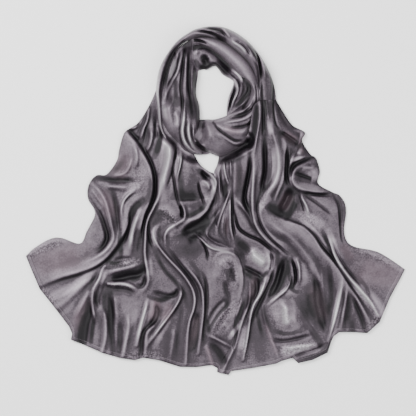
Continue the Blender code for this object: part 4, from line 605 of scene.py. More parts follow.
LEFT_PAINTED_SHADES = (
    shade("corner light", 1.1, 24, 28, (42, 262, 60, 258, 80, 254, 98, 249), 1),
    shade("corner spot", 3.4, 4, 5, (29, 253, 36, 248, 48, 241.5, 62, 240, 74, 243), 0.8, 0),
    shade("wedge light", 4.5, 9, 7, (92, 275, 74, 286, 54, 297), 0.3, 0.9),
    shade("wedge foot", 3, 8, 8, (87, 283, 75, 296, 66, 309), 0.3, 0.6),
    shade("mauve light", 1, 6, 6, (86, 294, 80, 306, 74, 316)),
    shade("lapel plain", 1.6, 13, 9, (131, 148, 132, 160, 129, 170), 0.5),
    shade("lapel light", 2.2, 16, 8, (138, 158, 142, 172, 138, 184, 128, 192), 0.3, 0.4),
    shade("tongue light", 3.6, 6, 6, (137, 187, 129, 192, 124, 202, 123, 213), 0.5, 0.2),
    shade("lobe plain", 0.4, 6, 8, (92, 186, 101, 196, 106, 210), 0.6, 0),
    shade("lobe dark", -2.5, 8, 8, (109, 188, 115, 202, 117, 220)),
    shade("elbow dark", -4, 5, 6, (94, 178, 112, 179, 130, 180, 140, 180)),
    shade("side dark", -4, 6, 6, (101, 212, 106, 226, 107, 238, 99, 250), 0.4, 0.2),
    shade("flank plain", 1, 10, 14, (90, 214, 88, 230, 82, 244), 0.8, 0.4),
    shade("middle strip plain", 2.6, 7, 6, (140, 204, 136, 220, 132, 236), 0.4, 0.4),
    shade("broad light", 5.4, 13, 12, (159.5, 108, 160, 122, 167, 140, 167.5, 155, 166.5, 170, 165, 186,
        163, 203), 0.3, 0.6),
    shade("gather dark", -3, 10, 8, (150, 108, 150, 122, 150, 136, 152, 148), 0.5, 0.2),
    shade("apex dark", -2.5, 5, 5, (131, 130, 136, 134, 141, 142), 0.6),
    shade("under strand", 7, 7, 7, (178, 147, 184, 152.5, 191, 157), 0.5, 0.4),
    shade("panel smudge", -6.5, 3, 20, (180, 200, 189, 199.8, 198, 199), 0.6, 0.6),
    shade("hook dark", -3.5, 6, 6, (163, 211, 169, 217, 176, 222)),
    shade("lower panel plain", -1.5, 10, 9, (187, 208, 197, 208, 205, 203), 0.5, 0.5),
    shade("patch light", 5.5, 5, 5, (203, 182.5, 208, 184, 211, 182), 0.5, 0.5),
    shade("rim light", 8, 5, 5, (207, 168, 212.5, 175, 214, 186, 213.5, 198), 0.6, 0.5),
    shade("inner patch plain", 4, 7, 6, (203, 187, 204, 196, 204, 204), 0.4),
    shade("pocket dark", -11, 17, 5, (184, 232, 192, 228, 200, 224, 207, 215), 0.5),
    shade("pocket fade", -4, 16, 14, (180, 250, 192, 248, 203, 240), 0.5),
    shade("curl light", 5, 3, 4, (158, 224, 154, 231, 155, 239)),
    shade("hook light", 6, 4, 9, (177, 225, 170, 229, 167, 237), 0.2, 0.2),
    shade("blob light", 3.5, 7, 7, (131, 238, 129, 248, 126, 258), 0.4, 0.4),
    shade("shelf light", 2, 5, 6, (119, 262, 129, 261, 138, 259), 0.5),
    shade("pocket black", -12, 8, 8, (116, 277.5, 128, 275, 139, 273, 143, 268), 0.4, 0.5),
    shade("pinch light", 8, 5, 6, (105, 267, 102.5, 276, 98.5, 287, 95.5, 298), 0.3, 0.2),
    shade("lip light", 6, 3, 3, (109, 283, 118, 283.5, 128, 285, 136, 289), 0.8, 0.2),
    shade("valley dark", -3, 4, 3, (131, 207, 128.5, 221, 123.5, 236, 114, 250)),
    shade("right of pinch", -5, 8, 8, (107, 282, 111, 298, 111, 314, 110, 330), 0.6),
    shade("bay dark", -9, 14, 9, (88, 312, 85, 326, 82, 342), 0.3, 0.8),
    shade("flat panel plain", 2, 20, 20, (128, 300, 133, 314, 136, 328), 0.7, 0.4),
    shade("under lip", -2.4, 6, 5, (112, 292, 124, 293, 138, 296), 0.4, 0.4),
    shade("ridge three light", 9, 5, 4, (148, 300, 144.5, 316, 140, 331, 137, 344), 0.2, 0.2),
    shade("pink dark", -7, 6, 8, (158, 304, 157.5, 315, 151, 326)),
    shade("middle plain", 0.4, 14, 12, (155, 262, 159, 276, 164, 286), 0.6, 0.4),
    shade("wedge dark", -8, 5, 4, (198.5, 316, 197, 332, 195, 351), 0.3, 0.4),
    shade("hem middle dark", -1.6, 16, 18, (170, 326, 169, 342, 168, 358), 0.3, 0.8),
    shade("bulge light", 5, 8, 8, (217, 273, 219, 261, 228, 256, 236, 261, 238.5, 273, 238, 284,
        236, 294), 0.4, 0.4),
    shade("bulge black", -5, 5, 5, (226, 269, 229, 276, 228, 284), 0.4, 0.4),
    shade("bay strip", 1, 8, 8, (210, 262, 212, 282, 211, 300)),
    shade("spit light", 3, 6, 6, (200, 240, 208, 247, 220, 251, 231, 251), 0.3, 0.5),
    shade("ribbon light", 4.5, 8, 9, (240, 303, 233, 312, 227, 322, 220, 332), 0.5, 0.5),
    shade("tip dark", -6, 9, 8, (215, 347, 220, 353, 224, 361), 0.6, 0.6),
    shade("hem light one", 1.6, 5, 5, (104, 318, 105, 335, 103, 350), 0, 0.8),
    shade("hem light two", 2, 5, 5, (128, 325, 126, 340, 124, 354), 0, 0.8),
    shade("eye light", 2.4, 10, 8, (164, 207, 170, 212, 175, 218), 0.6, 0.6),
    shade("panel dark", -0.8, 14, 14, (189, 158, 189, 172, 188, 184), 0.5, 0.5),
    shade("gather light", 2.6, 3, 4, (151, 122, 152, 134, 149, 146), 0.2, 0.2),
    shade("gather dark two", -12, 6, 5, (158.5, 128, 160.5, 138, 158.5, 148, 155, 157), 0.3, 0.2),
    shade("main valley dark", -5, 7, 3, (152.5, 174, 152, 188, 149, 200, 142, 208)),
    shade("inner spot dark", -6, 4, 4, (199, 171, 203, 176, 205, 181), 0.5),
    shade("under tongue light", 3, 4, 6, (104, 261, 92, 270, 78, 277)),
    shade("left of pinch", -4, 4, 3, (95, 273, 92, 283, 89.5, 293)),
    shade("shelf corner dark", -6, 4, 4, (108, 261, 115, 263.5, 122, 262.5), 0.4, 0.4),
    shade("pink light", 3, 4, 4, (153, 298, 151, 308, 147.5, 317)),
    shade("notch panel light", 5, 7, 7, (171, 314, 162, 329, 154, 345), 0.3, 0.4),
    shade("groove foot dark", -6, 4, 4, (153.5, 247, 159, 260, 165.5, 271, 175, 281, 184, 293, 187, 306)),
    shade("twin dark", -3.5, 4, 4, (188, 259, 197, 270, 201, 284)),
    shade("inner groove light", 6, 6, 6, (148, 256, 149, 266, 150, 278)),
    shade("strap light", 4, 4, 4, (180.5, 147, 180, 160, 177.5, 174), 0.3, 0.2),
    shade("valley mouth dark", -11, 7, 5, (143.5, 200.5, 138.5, 205, 134.5, 210.5, 131, 218), 0.4, 0.2),
    shade("curl under dark", -9, 5, 4, (176, 292, 168, 298, 159, 300, 149, 297)),
    shade("pinch side dark", -6, 4, 5, (104, 288, 104, 302, 105, 316)),
    shade("long hem dark", 3, 6, 6, (193, 278, 197, 293, 195, 310)),
    shade("ribbon edge dark", -6, 3, 3, (230, 303, 220, 313, 212.5, 324, 208.5, 333)),
    shade("hook upper dark", -4, 5, 5, (155, 217, 159, 213, 166, 212)),
    shade("flat panel side light", 3, 6, 6, (135, 312, 133, 328, 131, 342)),
    shade("panel side dark", -5, 5, 6, (180, 175, 181, 187, 182, 198)),
    shade("tongue side dark", -8, 4, 4, (121, 230, 120, 240, 121, 250, 121, 257)),
    shade("shoulder side dark", -5, 4, 5, (153, 114, 154.5, 122, 156, 130)),
    shade("elbow fold dark", -5, 5, 6, (112, 173, 119, 167, 124, 158)),
    shade("cove light", 6, 5, 5, (151, 234, 154, 240, 156, 247)),
    shade("ridge side light", 4, 4, 4, (135, 218, 131, 232, 132, 247)),
    shade("notch dark", -9, 4, 4, (94.5, 316, 92.5, 329, 91, 342), 0.3, 0.6),
    shade("lobe side dark", -8, 5, 4, (207, 202, 202, 209, 194, 214, 185, 218)),
    shade("lobe side light", 5, 3, 4, (216, 202, 213, 211, 208, 219)),
    shade("ribbon gap dark", -3, 5, 4, (235, 316, 228, 323, 221, 333)),
    shade("ribbon foot light", 11, 4, 4, (240, 322, 236, 329, 230, 337)),
    shade("lip end dark", -7, 3, 3, (129, 280, 136, 279.5, 142, 277)),
    shade("rim foot light", 5, 4, 4, (203, 240, 210, 245.5, 221, 249, 232, 249.5)),
    shade("flank light", 5, 5, 4, (144.5, 213, 140.5, 223, 138, 234)),
    shade("hook crumple dark", -4, 6, 6, (152, 227, 158, 220, 165, 215)),
    shade("strap side light", 4, 5, 5, (173, 158, 175, 170, 176, 181)),
    shade("shelf dark", -4, 3, 3, (102, 268, 116, 267, 130, 264, 139, 257)),
    shade("ribbon knot dark", -6, 4, 4, (224, 298, 227, 303, 226, 309)),
    shade("ribbon root dark", -6, 4, 4, (206, 317, 208, 326, 209, 334)),
    shade("corner plain dark", -1.5, 20, 20, (40, 262, 60, 260, 84, 254), 0.8),
    shade("lapel plain dark", -1.2, 9, 9, (128, 146, 124, 162, 112, 178)),
    shade("wedge plain dark", -2, 4, 4, (197, 318, 196, 330, 194, 344)),
)
LEFT_GRAINS = (
    shade("eye crumple", 12, 9, 9, (163, 212, 168, 216, 173, 220), 0.6, 0.6),
    shade("lapel grain", 5, 16, 12, (142, 165, 141, 180, 130, 193), 0.4, 0.4),
    shade("shelf grain", 8, 7, 7, (108, 266, 124, 263, 140, 260), 0.5, 0.5),
    shade("bulge grain", 6, 14, 12, (219, 259, 230, 266, 234, 285), 0.5, 0.5),
    shade("ribbon grain", 8, 4, 14, (236, 303, 226, 312, 214, 328), 0.5, 0.5),
    shade("corner grain", 7, 7, 7, (29, 255, 42, 249, 58, 243), 0.8, 0.8),
    shade("hem grain one", 8, 8, 8, (44, 293, 56, 304), 0.8, 0),
    shade("hem grain two", 8, 7, 7, (120, 353, 135, 356, 150, 355, 165, 358)),
    shade("lip grain", 7, 4, 4, (109, 284, 120, 285, 134, 289), 0.7),
)
LEFT_BLUSHES = (
    shade("pink hollow", 10, 9, 9, (151, 298, 156, 308, 150, 322), 0, 0),
    shade("pink panel", 6, 9, 9, (166, 300, 168, 312, 160, 322), 0, 0),
    shade("corner mauve", 4.5, 21, 24, (45, 264, 64, 260, 84, 254), 0.8),
    shade("lobe mauve", 5, 12, 12, (98, 188, 108, 204, 113, 222), 0, 0),
    shade("lapel mauve", 4, 15, 15, (122, 150, 124, 165, 112, 182), 0.3, 0),
    shade("wedge mauve", 9, 7.5, 4.5, (198, 314, 196, 328, 193, 345), 0, 0.4),
    shade("bay mauve", 5, 9, 9, (90, 296, 80, 314, 76, 328), 0, 0.4),
    shade("tip mauve", 5, 3.8, 3.8, (205, 343, 209, 354, 213, 366), 0, 0.8),
)

RIGHT_PAINTED_SHADES = (
    shade("shoulder dark", -3, 11, 10, (279, 104, 285, 116, 292, 126), 0.6, 0.4),
    shade("strand dark", -8, 4, 4, (264.5, 100, 264.5, 112, 264, 124, 265, 138), 0.6, 0.2),
    shade("strand light", 4, 5, 5, (269.5, 121, 270, 128, 271.5, 136), 0.2, 0.2),
    shade("valley dark", -6, 6, 7, (264.5, 142, 265, 160, 265, 176, 263, 188), 0.3, 0.4),
    shade("tube light", 4.6, 10, 9, (278, 141, 281, 157, 281.5, 171, 276, 188, 271.5, 197), 0.3, 0.4),
    shade("tube foot light", 6, 6, 5, (269, 199, 261, 206, 257.5, 215, 262, 226), 0.6),
    shade("under the ring", -8, 7, 7, (220, 162, 232, 160, 245, 153), 0.6),
    shade("gather dark", -1, 6, 6, (224, 168, 225, 182, 227, 196), 0.4, 0.4),
    shade("first dark", -6, 6, 4, (247.5, 172, 245, 186, 244, 198, 248, 209, 252, 218), 0.2, 0.5),
    shade("first ridge plain", 1.4, 6, 6, (254, 158, 254, 176, 253.5, 198, 255, 214)),
    shade("leaf plain", 1.6, 5, 9, (238, 208, 244, 219, 252, 229)),
    shade("corner brown", -7, 9, 6, (282, 133, 289, 138, 297, 143), 0.4, 0.4),
    shade("outer dark", -9, 6, 4, (290, 150, 288, 164, 287, 178, 288.5, 187), 0.4, 0.4),
    shade("wedge dark", -13, 10, 10, (291, 193, 287.5, 204, 281, 211.5, 272, 209), 0.8, 0.5),
    shade("rim plain", 4, 5, 6, (300, 146, 297.5, 156), 0.4, 0.4),
    shade("loop light", 4.5, 6, 6, (314, 167, 316, 175, 313, 182), 0.4, 0.4),
    shade("loop plain", 4, 5, 5, (297, 183, 308, 186, 322, 189), 0.4),
    shade("slot black", -6, 2.6, 2.6, (293.5, 173.5, 301, 175.5, 310, 178.5), 0, 0.8),
    shade("crumple light", 4, 10, 9, (298, 216, 308, 218, 318, 223, 325, 229), 0.6, 0.4),
    shade("shoulder plain", 1.6, 12, 12, (315, 201, 327, 205, 335, 214), 0.6, 0.6),
    shade("side plain", 1.4, 8, 8, (332, 222, 337, 238, 344, 250), 0.4, 0.4),
    shade("crumple dark", -1, 3, 6, (304, 228, 315, 238, 325, 251, 332, 260)),
    shade("lap plain", 3.4, 12, 5, (280, 222, 295, 228, 307, 238, 315, 249), 0.4, 0.2),
    shade("leaf light", 10, 5, 6, (328.5, 231, 332.5, 243, 336, 255, 341, 265), 0.2),
    shade("far leaf light", 8, 7, 12, (350, 280, 362, 292, 374, 304, 379, 313), 0, 0.6),
    shade("corner light", 1.2, 24, 28, (392, 272, 376, 270, 362, 266), 1, 0.5),
    shade("corner spot", 3, 4, 5, (400, 269, 385, 259, 368, 251, 352, 248), 0.8, 0),
    shade("hollow dark", -9, 17, 14, (316, 288, 320, 303, 324, 319), 0.3, 0.4),
    shade("slope plain", 4.6, 8, 7, (297, 261, 303, 268, 304, 281), 0.4),
    shade("bay dark", -11, 11, 8, (286, 262, 283, 274, 277, 287, 268, 299), 0.5),
    shade("slot dark", -5, 3, 3, (291, 259, 294.5, 268, 295.5, 280), 0.3, 0),
    shade("bulge light", 10, 13, 13, (253, 255, 260, 259.5, 267, 264), 0.8, 0.7),
    shade("bulge under", -11, 7, 6, (245, 271, 255, 277, 263, 283), 0.4),
    shade("narrow dark", -10, 9, 8, (254, 280, 254.5, 292, 250, 306), 0.4, 0.5),
    shade("hem bulge light", 6, 15, 16, (278, 306, 283, 317, 289, 326), 0.6, 0.5),
    shade("hem patch light", 8, 9, 8, (285, 351, 298, 348.5, 314, 347.5), 0.7, 0.6),
    shade("hem dip dark", -5, 4, 4, (274, 331, 287, 333.5, 300, 331)),
    shade("flap dark", -5, 4, 4, (298, 360, 312, 356.5, 325, 351, 331, 340), 0.5),
    shade("diagonal dark", -2.4, 4, 14, (302, 304, 311, 318, 321, 334), 0.2),
    shade("twin light", 11, 7, 5, (341.5, 284, 339.5, 300, 336.5, 316, 332.5, 334), 0.2),
    shade("fan dark", -1, 12, 12, (350, 302, 352, 314, 354, 326), 0.3, 0.6),
    shade("hem column dark", -1.8, 14, 14, (258, 326, 259, 340, 261, 356), 0.3, 0.6),
    shade("tip light", 6, 7, 7, (245, 322, 243, 338, 240, 352), 0.2),
    shade("strip light", 3, 4, 4, (250, 316, 248, 330, 245, 344, 243, 358), 0.2, 0.6),
    shade("tip dark", -8, 4, 4, (244, 300, 240, 313, 236, 324, 235.5, 340), 0.2, 0.2),
    shade("strand gap", -12, 5, 5, (256.5, 108, 255.5, 120, 254, 131, 251.5, 142, 249.5, 152), 0.5),
    shade("second crease plain", 3, 4, 5, (258, 214, 262, 227, 270, 238, 281, 248)),
    shade("loop inside light", 4.5, 7, 6, (300, 167, 308, 170, 315, 175), 0.4, 0.4),
    shade("tab light", 5, 4, 4, (295, 129.5, 301, 132, 303, 138), 0.5, 0.5),
    shade("ray light", 5, 5, 6, (300, 195, 305, 205, 309, 215), 0.4, 0.4),
    shade("edge crease dark", -4, 3, 3, (338, 197, 341, 210, 341, 224)),
    shade("lap foot light", 5.5, 3, 6, (302, 224.5, 312, 231, 321, 242, 332, 255, 341, 267,
        349, 280), 0.4, 0.2),
    shade("hollow edge dark", -5, 5, 5, (328, 262, 330.5, 284, 330.5, 302, 327.5, 318)),
    shade("bulge side dark", -5, 6, 6, (237, 239, 241, 251, 243.5, 261), 0.4, 0.4),
    shade("narrow light", 11, 5, 5, (267, 279, 262, 290, 255.5, 302, 250.5, 316)),
    shade("slot base light", 4, 6, 5, (284, 293.5, 291, 291, 298, 292), 0.4, 0.4),
    shade("hem side light", 4, 5, 4, (217.5, 163, 216.5, 171, 217, 180), 0.5),
    shade("pocket rim dark", -3, 4, 4, (203, 226, 205, 235, 214, 240, 224, 243)),
    shade("tube upper dark", -4, 5, 5, (272, 128, 274, 140, 276.5, 150), 0.4, 0.2),
    shade("first panel dark", -3.6, 8, 5, (238, 158, 240, 176, 239, 194, 242, 204), 0.4),
    shade("loop rim dark", -6, 4, 4, (290, 176, 293.5, 167, 302, 162, 312, 159), 0.4),
    shade("hollow left dark", -6, 8, 8, (308, 290, 311, 305, 317, 320)),
    shade("diagonal end dark", -5, 6, 6, (309, 326, 316, 337, 322, 347), 0.3, 0.4),
    shade("hem panel dark", -4.5, 6, 5, (262, 303, 264, 315, 270, 329)),
    shade("gather plain", 4, 7, 7, (219, 166, 223, 171, 226, 180), 0.5, 0.4),
    shade("rib light", 4, 5, 5, (226.5, 203, 225, 213, 223, 226)),
    shade("leaf side light", 6, 5, 5, (341, 264, 350, 278, 360, 293, 369, 306, 375, 316), 0.3, 0.4),
    shade("bay top dark", -5, 4, 4, (276, 248, 277.5, 257, 275, 268)),
    shade("slot rim light", 4, 3, 3, (290, 285, 281, 293, 269, 303)),
    shade("seam side dark", -5, 4, 4, (266, 98, 266.5, 108, 267.5, 119)),
    shade("rib side dark", -8, 5, 5, (224.5, 182, 225, 191, 224.5, 200)),
    shade("nook dark", -6, 4, 4, (300, 141, 297.5, 149, 291, 156)),
    shade("nook light", 8, 3, 4, (290, 162, 297, 159, 305, 158.5)),
    shade("loop hollow dark", -5, 4, 5, (293, 175, 300, 168, 308, 166)),
    shade("tube upper light", 5, 5, 5, (282, 134, 283, 143, 285, 152)),
    shade("tube side light", 6, 3, 4, (272.5, 150, 273.5, 164, 272.5, 178)),
    shade("tube lower dark", -6, 5, 5, (270, 183, 263, 191, 258.5, 200)),
    shade("wedge side light", 5, 4, 4, (297, 188, 288, 197, 281.5, 208)),
    shade("wedge foot dark", -10, 5, 5, (296.5, 201, 292, 210, 286, 219)),
    shade("hollow upper dark", -7, 6, 7, (238, 240, 246, 248, 250, 257)),
    shade("narrow upper dark", -6, 3, 4, (269, 269, 264, 275, 258, 281)),
    shade("strip dark", -6, 4, 4, (288, 262, 289, 274, 293.5, 290)),
    shade("hollow plain dark", -4, 9, 9, (302, 297, 304.5, 311, 306, 325), 0.4, 0.4),
    shade("leaf dark", -7, 4, 4, (322, 230, 329, 247, 337, 266)),
    shade("hem band dark", -6, 4, 4, (257.5, 308, 258.5, 320, 262, 336)),
    shade("hem bulge side light", 6, 6, 7, (290.5, 303, 292, 313, 291.5, 324)),
    shade("lap side light", 3, 4, 4, (262, 228, 275, 239.5, 289, 246.5)),
    shade("rib plain", 4, 4, 5, (229, 203, 226, 213, 224, 221)),
    shade("second panel dark", -4, 4, 4, (239, 198, 245, 210, 252, 224, 256, 234)),
    shade("bulge rim light", 5, 4, 4, (266, 249, 270, 257, 271, 265)),
    shade("rib foot dark", -5, 4, 4, (235, 250, 238, 258, 241, 267)),
    shade("tube lower shade", -4, 4, 4, (284, 184, 280, 192, 276.5, 201)),
    shade("lap head light", 4, 4, 4, (301, 219.5, 311, 227.5, 317, 234)),
    shade("slope side light", 4, 5, 5, (309, 260, 315, 272, 319, 285)),
    shade("slope foot dark", -6, 4, 4, (289, 286, 294, 291, 300, 292)),
    shade("corner bay dark", -5, 6, 6, (351, 318, 352, 328, 353, 337)),
    shade("far leaf dark", -4, 4, 4, (358, 277, 366, 288, 372, 301)),
    shade("corner plain dark", -1, 20, 20, (392, 272, 372, 268, 354, 260), 0.8),
    shade("leaf plain dark", -2.5, 6, 6, (341, 243, 346, 252, 351, 262)),
    shade("rib plain dark", -4, 3, 3, (226.5, 218, 226, 228, 226, 238)),
    shade("panel plain dark", -2, 5, 5, (239, 162, 239, 176, 238.5, 190)),
)
RIGHT_GRAINS = (
    shade("crumple grain", 7, 9, 9, (297, 215, 308, 218, 320, 224), 0.4, 0.4),
    shade("leaf grain", 8, 6, 6, (354, 286, 364, 296, 374, 308, 376, 316), 0, 0.8),
    shade("hem patch grain", 12, 8, 8, (284, 351, 296, 348.5, 312, 345), 0.8, 0.6),
    shade("bulge grain", 6, 13, 13, (252, 254, 262, 260), 0.6, 0.6),
    shade("hem bulge grain", 4, 18, 16, (278, 310, 286, 326), 0.5, 0.5),
    shade("foot grain", 6, 7, 6, (268, 188, 263, 200, 262, 211)),
    shade("corner grain", 6, 6, 6, (352, 249, 374, 255, 398, 268), 0.6, 0.6),
    shade("fan grain", 9, 6, 6, (366, 330, 374, 323, 379, 317), 0.8, 0.4),
    shade("strip grain", 6, 6, 6, (248, 335, 244, 350, 250, 362), 0.3, 0.6),
)
RIGHT_BLUSHES = (
    shade("corner mauve", 4.5, 21, 24, (390, 275, 372, 272, 358, 264), 0.8),
    shade("corner brown", 9, 7.5, 7.5, (282, 133, 290, 138, 298, 143), 0, 0),
    shade("rim brown", 5, 3.8, 3.8, (303, 136, 300, 146, 304, 156), 0.5, 0),
    shade("wedge brown", 10, 10.5, 10.5, (291, 192, 285, 203, 281, 212), 0, 0),
    shade("leaf mauve", 5, 7.5, 9, (340, 243, 346, 252, 351, 262), 0, 0),
    shade("panel mauve", 1.5, 9, 12, (239, 160, 239, 176, 238, 192), 0, 0),
    shade("hollow mauve", 6, 12, 12, (312, 282, 317, 300, 324, 324), 0, 0),
    shade("rib mauve", 5, 3.8, 3.8, (227, 215, 226, 228, 226, 238), 0, 0),
    shade("hem line mauve", 4, 3.8, 3.8, (264, 320, 270, 337, 276, 352), 0, 0.6),
    shade("strip brown", 9, 6, 6, (255, 274, 253.5, 286, 251, 300)),
)

# Crown heights along the wound stretches: share of the way along, and height over the floor

BACK_CROWN = ((0, 14), (0.3, 17), (1, 16))
FRONT_CROWN = ((0, 20), (0.15, 27), (0.35, 27), (0.5, 24), (0.6, 26), (0.85, 26), (1, 18))
LEFT_BAND_CROWN = ((0, 18), (0.25, 28), (0.8, 28), (1, 16))
TOP_CROWN = ((0, 8), (0.1, 11), (0.18, 16), (0.32, 24), (0.5, 34), (0.8, 36), (1, 24))


def smooth_path(path: tuple, steps: int = 6) -> np.ndarray:
    """Points of a smooth curve through the points of a path on the plan.

    Each span is a cubic that leaves and enters its points in the direction of their neighbours.

    Args:
        path: Plan points, as pairs or as x and y in turn.
        steps: Points laid on each span.

    Returns:
        An array of plan points with two columns.
    """
    knots = np.array(path, dtype=float).reshape(-1, 2)
    before = np.vstack([knots[:1], knots[:-1]])
    after = np.vstack([knots[1:], knots[-1:]])
    pull = (after - before) / 2
    pull[0] *= 2
    pull[-1] *= 2
    share = np.linspace(0.0, 1.0, steps, endpoint=False)[None, :, None]
    start, end = knots[:-1, None], knots[1:, None]
    curve = (
        (2 * share**3 - 3 * share**2 + 1) * start
        + (share**3 - 2 * share**2 + share) * pull[:-1, None]
        + (-2 * share**3 + 3 * share**2) * end
        + (share**3 - share**2) * pull[1:, None]
    )
    return np.vstack([curve.reshape(-1, 2), knots[-1:]])


def points_along(path: tuple, marks: np.ndarray, keep_corners: bool = False) -> np.ndarray:
    """Points of a path on the plan at marks given as shares of its length."""
    curve = np.array(path, dtype=float) if keep_corners else smooth_path(path)
    run = np.concatenate([[0.0], np.cumsum(np.hypot(*np.diff(curve, axis=0).T))])
    return np.column_stack([np.interp(marks * run[-1], run, curve[:, axis]) for axis in (0, 1)])


def ease(share: np.ndarray) -> np.ndarray:
    """Smooth step from 0 to 1."""
    share = np.clip(share, 0.0, 1.0)
    return share * share * (3.0 - 2.0 * share)


def near_path(points: np.ndarray, path: tuple, reach: float) -> tuple[np.ndarray, ...]:
    """The plan points within reach of a path, and how they lie to it.

    The distance is the least one to any span of the curve; the side is the sign of the cross product of the
    span's direction and the way to the point.

    Args:
        points: Plan points, two columns.
        path: Plan points of the path.
        reach: Distance in metres beyond which points are left out.

    Returns:
        Indices of the points, their distances in metres, their sides (positive on the plan's left when the
        path runs down) and the shares run along the path.
    """
    curve = smooth_path(path)
    margin = reach / SQUARE
    low, high = curve.min(axis=0) - margin, curve.max(axis=0) + margin
    chosen = np.flatnonzero(((points >= low) & (points <= high)).all(axis=1))
    start, step = curve[:-1], np.diff(curve, axis=0)
    length = np.hypot(step[:, 0], step[:, 1])
    step = step / np.maximum(length, 1e-9)[:, None]
    run = np.concatenate([[0.0], np.cumsum(length)[:-1]])
    away = points[chosen, None] - start[None]
    reached = np.clip((away * step).sum(axis=2), 0.0, length)
    gap = away - reached[..., None] * step
    distance = np.hypot(gap[..., 0], gap[..., 1])
    nearest = distance.argmin(axis=1)
    rows = np.arange(len(chosen))
    side = np.sign(away[..., 1] * step[:, 0] - away[..., 0] * step[:, 1])[rows, nearest]
    along = (run[nearest] + reached[rows, nearest]) / length.sum()
    return chosen, distance[rows, nearest] * SQUARE, side, along


def folded(points: np.ndarray, folds: tuple, flat_share: float = 0.0) -> np.ndarray:
    """Sum of a table's folds at each plan point.

    Across a fold the height falls from its rise at the path to nothing at the slope's width, along a smooth
    step; a groove keeps a sharper foot than a ridge. Along it, the rise grows from the share at its start
    over the first third and fades to the share at its end over the last third.

    Args:
        points: Plan points, two columns.
        folds: Rows of the Fold table.
        flat_share: Share of each slope's width that stays at the full rise.

    Returns:
        Heights in metres.
    """
    total = np.zeros(len(points))
    for fold in folds:
        left, right = (max(width * MM * SLOPE_SCALE, LEAST_SLOPE) for width in (fold.left, fold.right))
        chosen, distance, side, along = near_path(points, fold.path, max(left, right))
        share = 1.0 - (1.0 - fold.start) * (1.0 - ease(along / FADE_SHARE))
        share = share - (1.0 - fold.end) * (1.0 - ease((1.0 - along) / FADE_SHARE))
        across = distance / np.where(side > 0, left, right)
        across = np.clip((across - flat_share) / (1.0 - flat_share), 0.0, 1.0)
        crisp = GROOVE_CRISPNESS if fold.rise < 0 else RIDGE_CRISPNESS
        profile = (1.0 - crisp) * (1.0 - ease(across)) + crisp * (1.0 - across) ** 2
        total[chosen] += fold.rise * MM * share * profile
    return total


def zone_share(points: np.ndarray, zone: Zone) -> np.ndarray:
    """How much a zone holds each plan point: 1 within its reach, easing to 0 over the fade beyond it."""
    share = np.zeros(len(points))
    chosen, distance, _, _ = near_path(points, zone.path, (zone.reach + ZONE_FADE) * MM)
    share[chosen] = 1.0 - ease((distance - zone.reach * MM) / (ZONE_FADE * MM))
    return share


def pressed(points: np.ndarray, height: np.ndarray, zones: tuple) -> np.ndarray:
    """Heights with each pressed margin held down at its zone's level."""
    for zone in zones:
        level = zone.level * MM
        height = np.where(height > level, height + (level - height) * zone_share(points, zone), height)
    return height


def lifted(points: np.ndarray, height: np.ndarray, zones: tuple) -> np.ndarray:
    """Heights raised to each zone's level where they would be lower."""
    for zone in zones:
        level = zone.level * MM
        height = np.where(height < level, height + (level - height) * zone_share(points, zone), height)
    return height


def rest_level(points: np.ndarray, zones: tuple) -> np.ndarray:
    """Level of a stretch's underside: the highest of the zones that it rests on."""
    level = np.zeros(len(points))
    for zone in zones:
        chosen, distance, _, _ = near_path(points, zone.path, zone.reach * MM)
        inside = chosen[distance < zone.reach * MM]
        level[inside] = np.maximum(level[inside], zone.level * MM)
    return level


def softened(values: np.ndarray, down: int, across: int) -> np.ndarray:
    """Values averaged three times over a window of a grid, with its edges carried on outside it.

    Args:
        values: A grid of numbers.
        down: Rows on each side of a point that its average takes in.
        across: Columns on each side.

    Returns:
        The averaged grid.
    """
    for axis, half in ((0, down), (1, across)):
        pad = [(0, 0), (0, 0)]
        pad[axis] = (half + 1, half)
        for _ in range(3):
            run = np.cumsum(np.pad(values, pad, mode="edge"), axis=axis)
            count = values.shape[axis]
            ahead = np.take(run, np.arange(2 * half + 1, 2 * half + 1 + count), axis=axis)
            behind = np.take(run, np.arange(count), axis=axis)
            values = (ahead - behind) / (2 * half + 1)
    return values


def evened(plan: np.ndarray, rounds: int) -> np.ndarray:
    """A patch whose inner points are moved until its two families of lines run smoothly.

    Each round solves the Winslow equation at every inner point: a x_uu - 2 b x_uv + c x_vv = 0, where a, b
    and c are the squared length of the step along v, the product of both steps and the squared length of the
    step along u. Unlike plain averaging it doesn't turn cells over at a hollow edge.

    Args:
        plan: Plan points, rows by columns.
        rounds: How often every point is moved.

    Returns:
        The plan with its inner points moved.
    """
    for _ in range(rounds):
        along_u = (plan[1:-1, 2:] - plan[1:-1, :-2]) / 2
        along_v = (plan[2:, 1:-1] - plan[:-2, 1:-1]) / 2
        a = (along_v**2).sum(axis=2, keepdims=True)
        c = (along_u**2).sum(axis=2, keepdims=True)
        b = (along_u * along_v).sum(axis=2, keepdims=True)
        crossed = (plan[2:, 2:] - plan[2:, :-2] - plan[:-2, 2:] + plan[:-2, :-2]) / 4
        plan[1:-1, 1:-1] = (
            a * (plan[1:-1, 2:] + plan[1:-1, :-2]) + c * (plan[2:, 1:-1] + plan[:-2, 1:-1]) - 2 * b * crossed
        ) / (2 * (a + c) + 1e-12)
    return plan


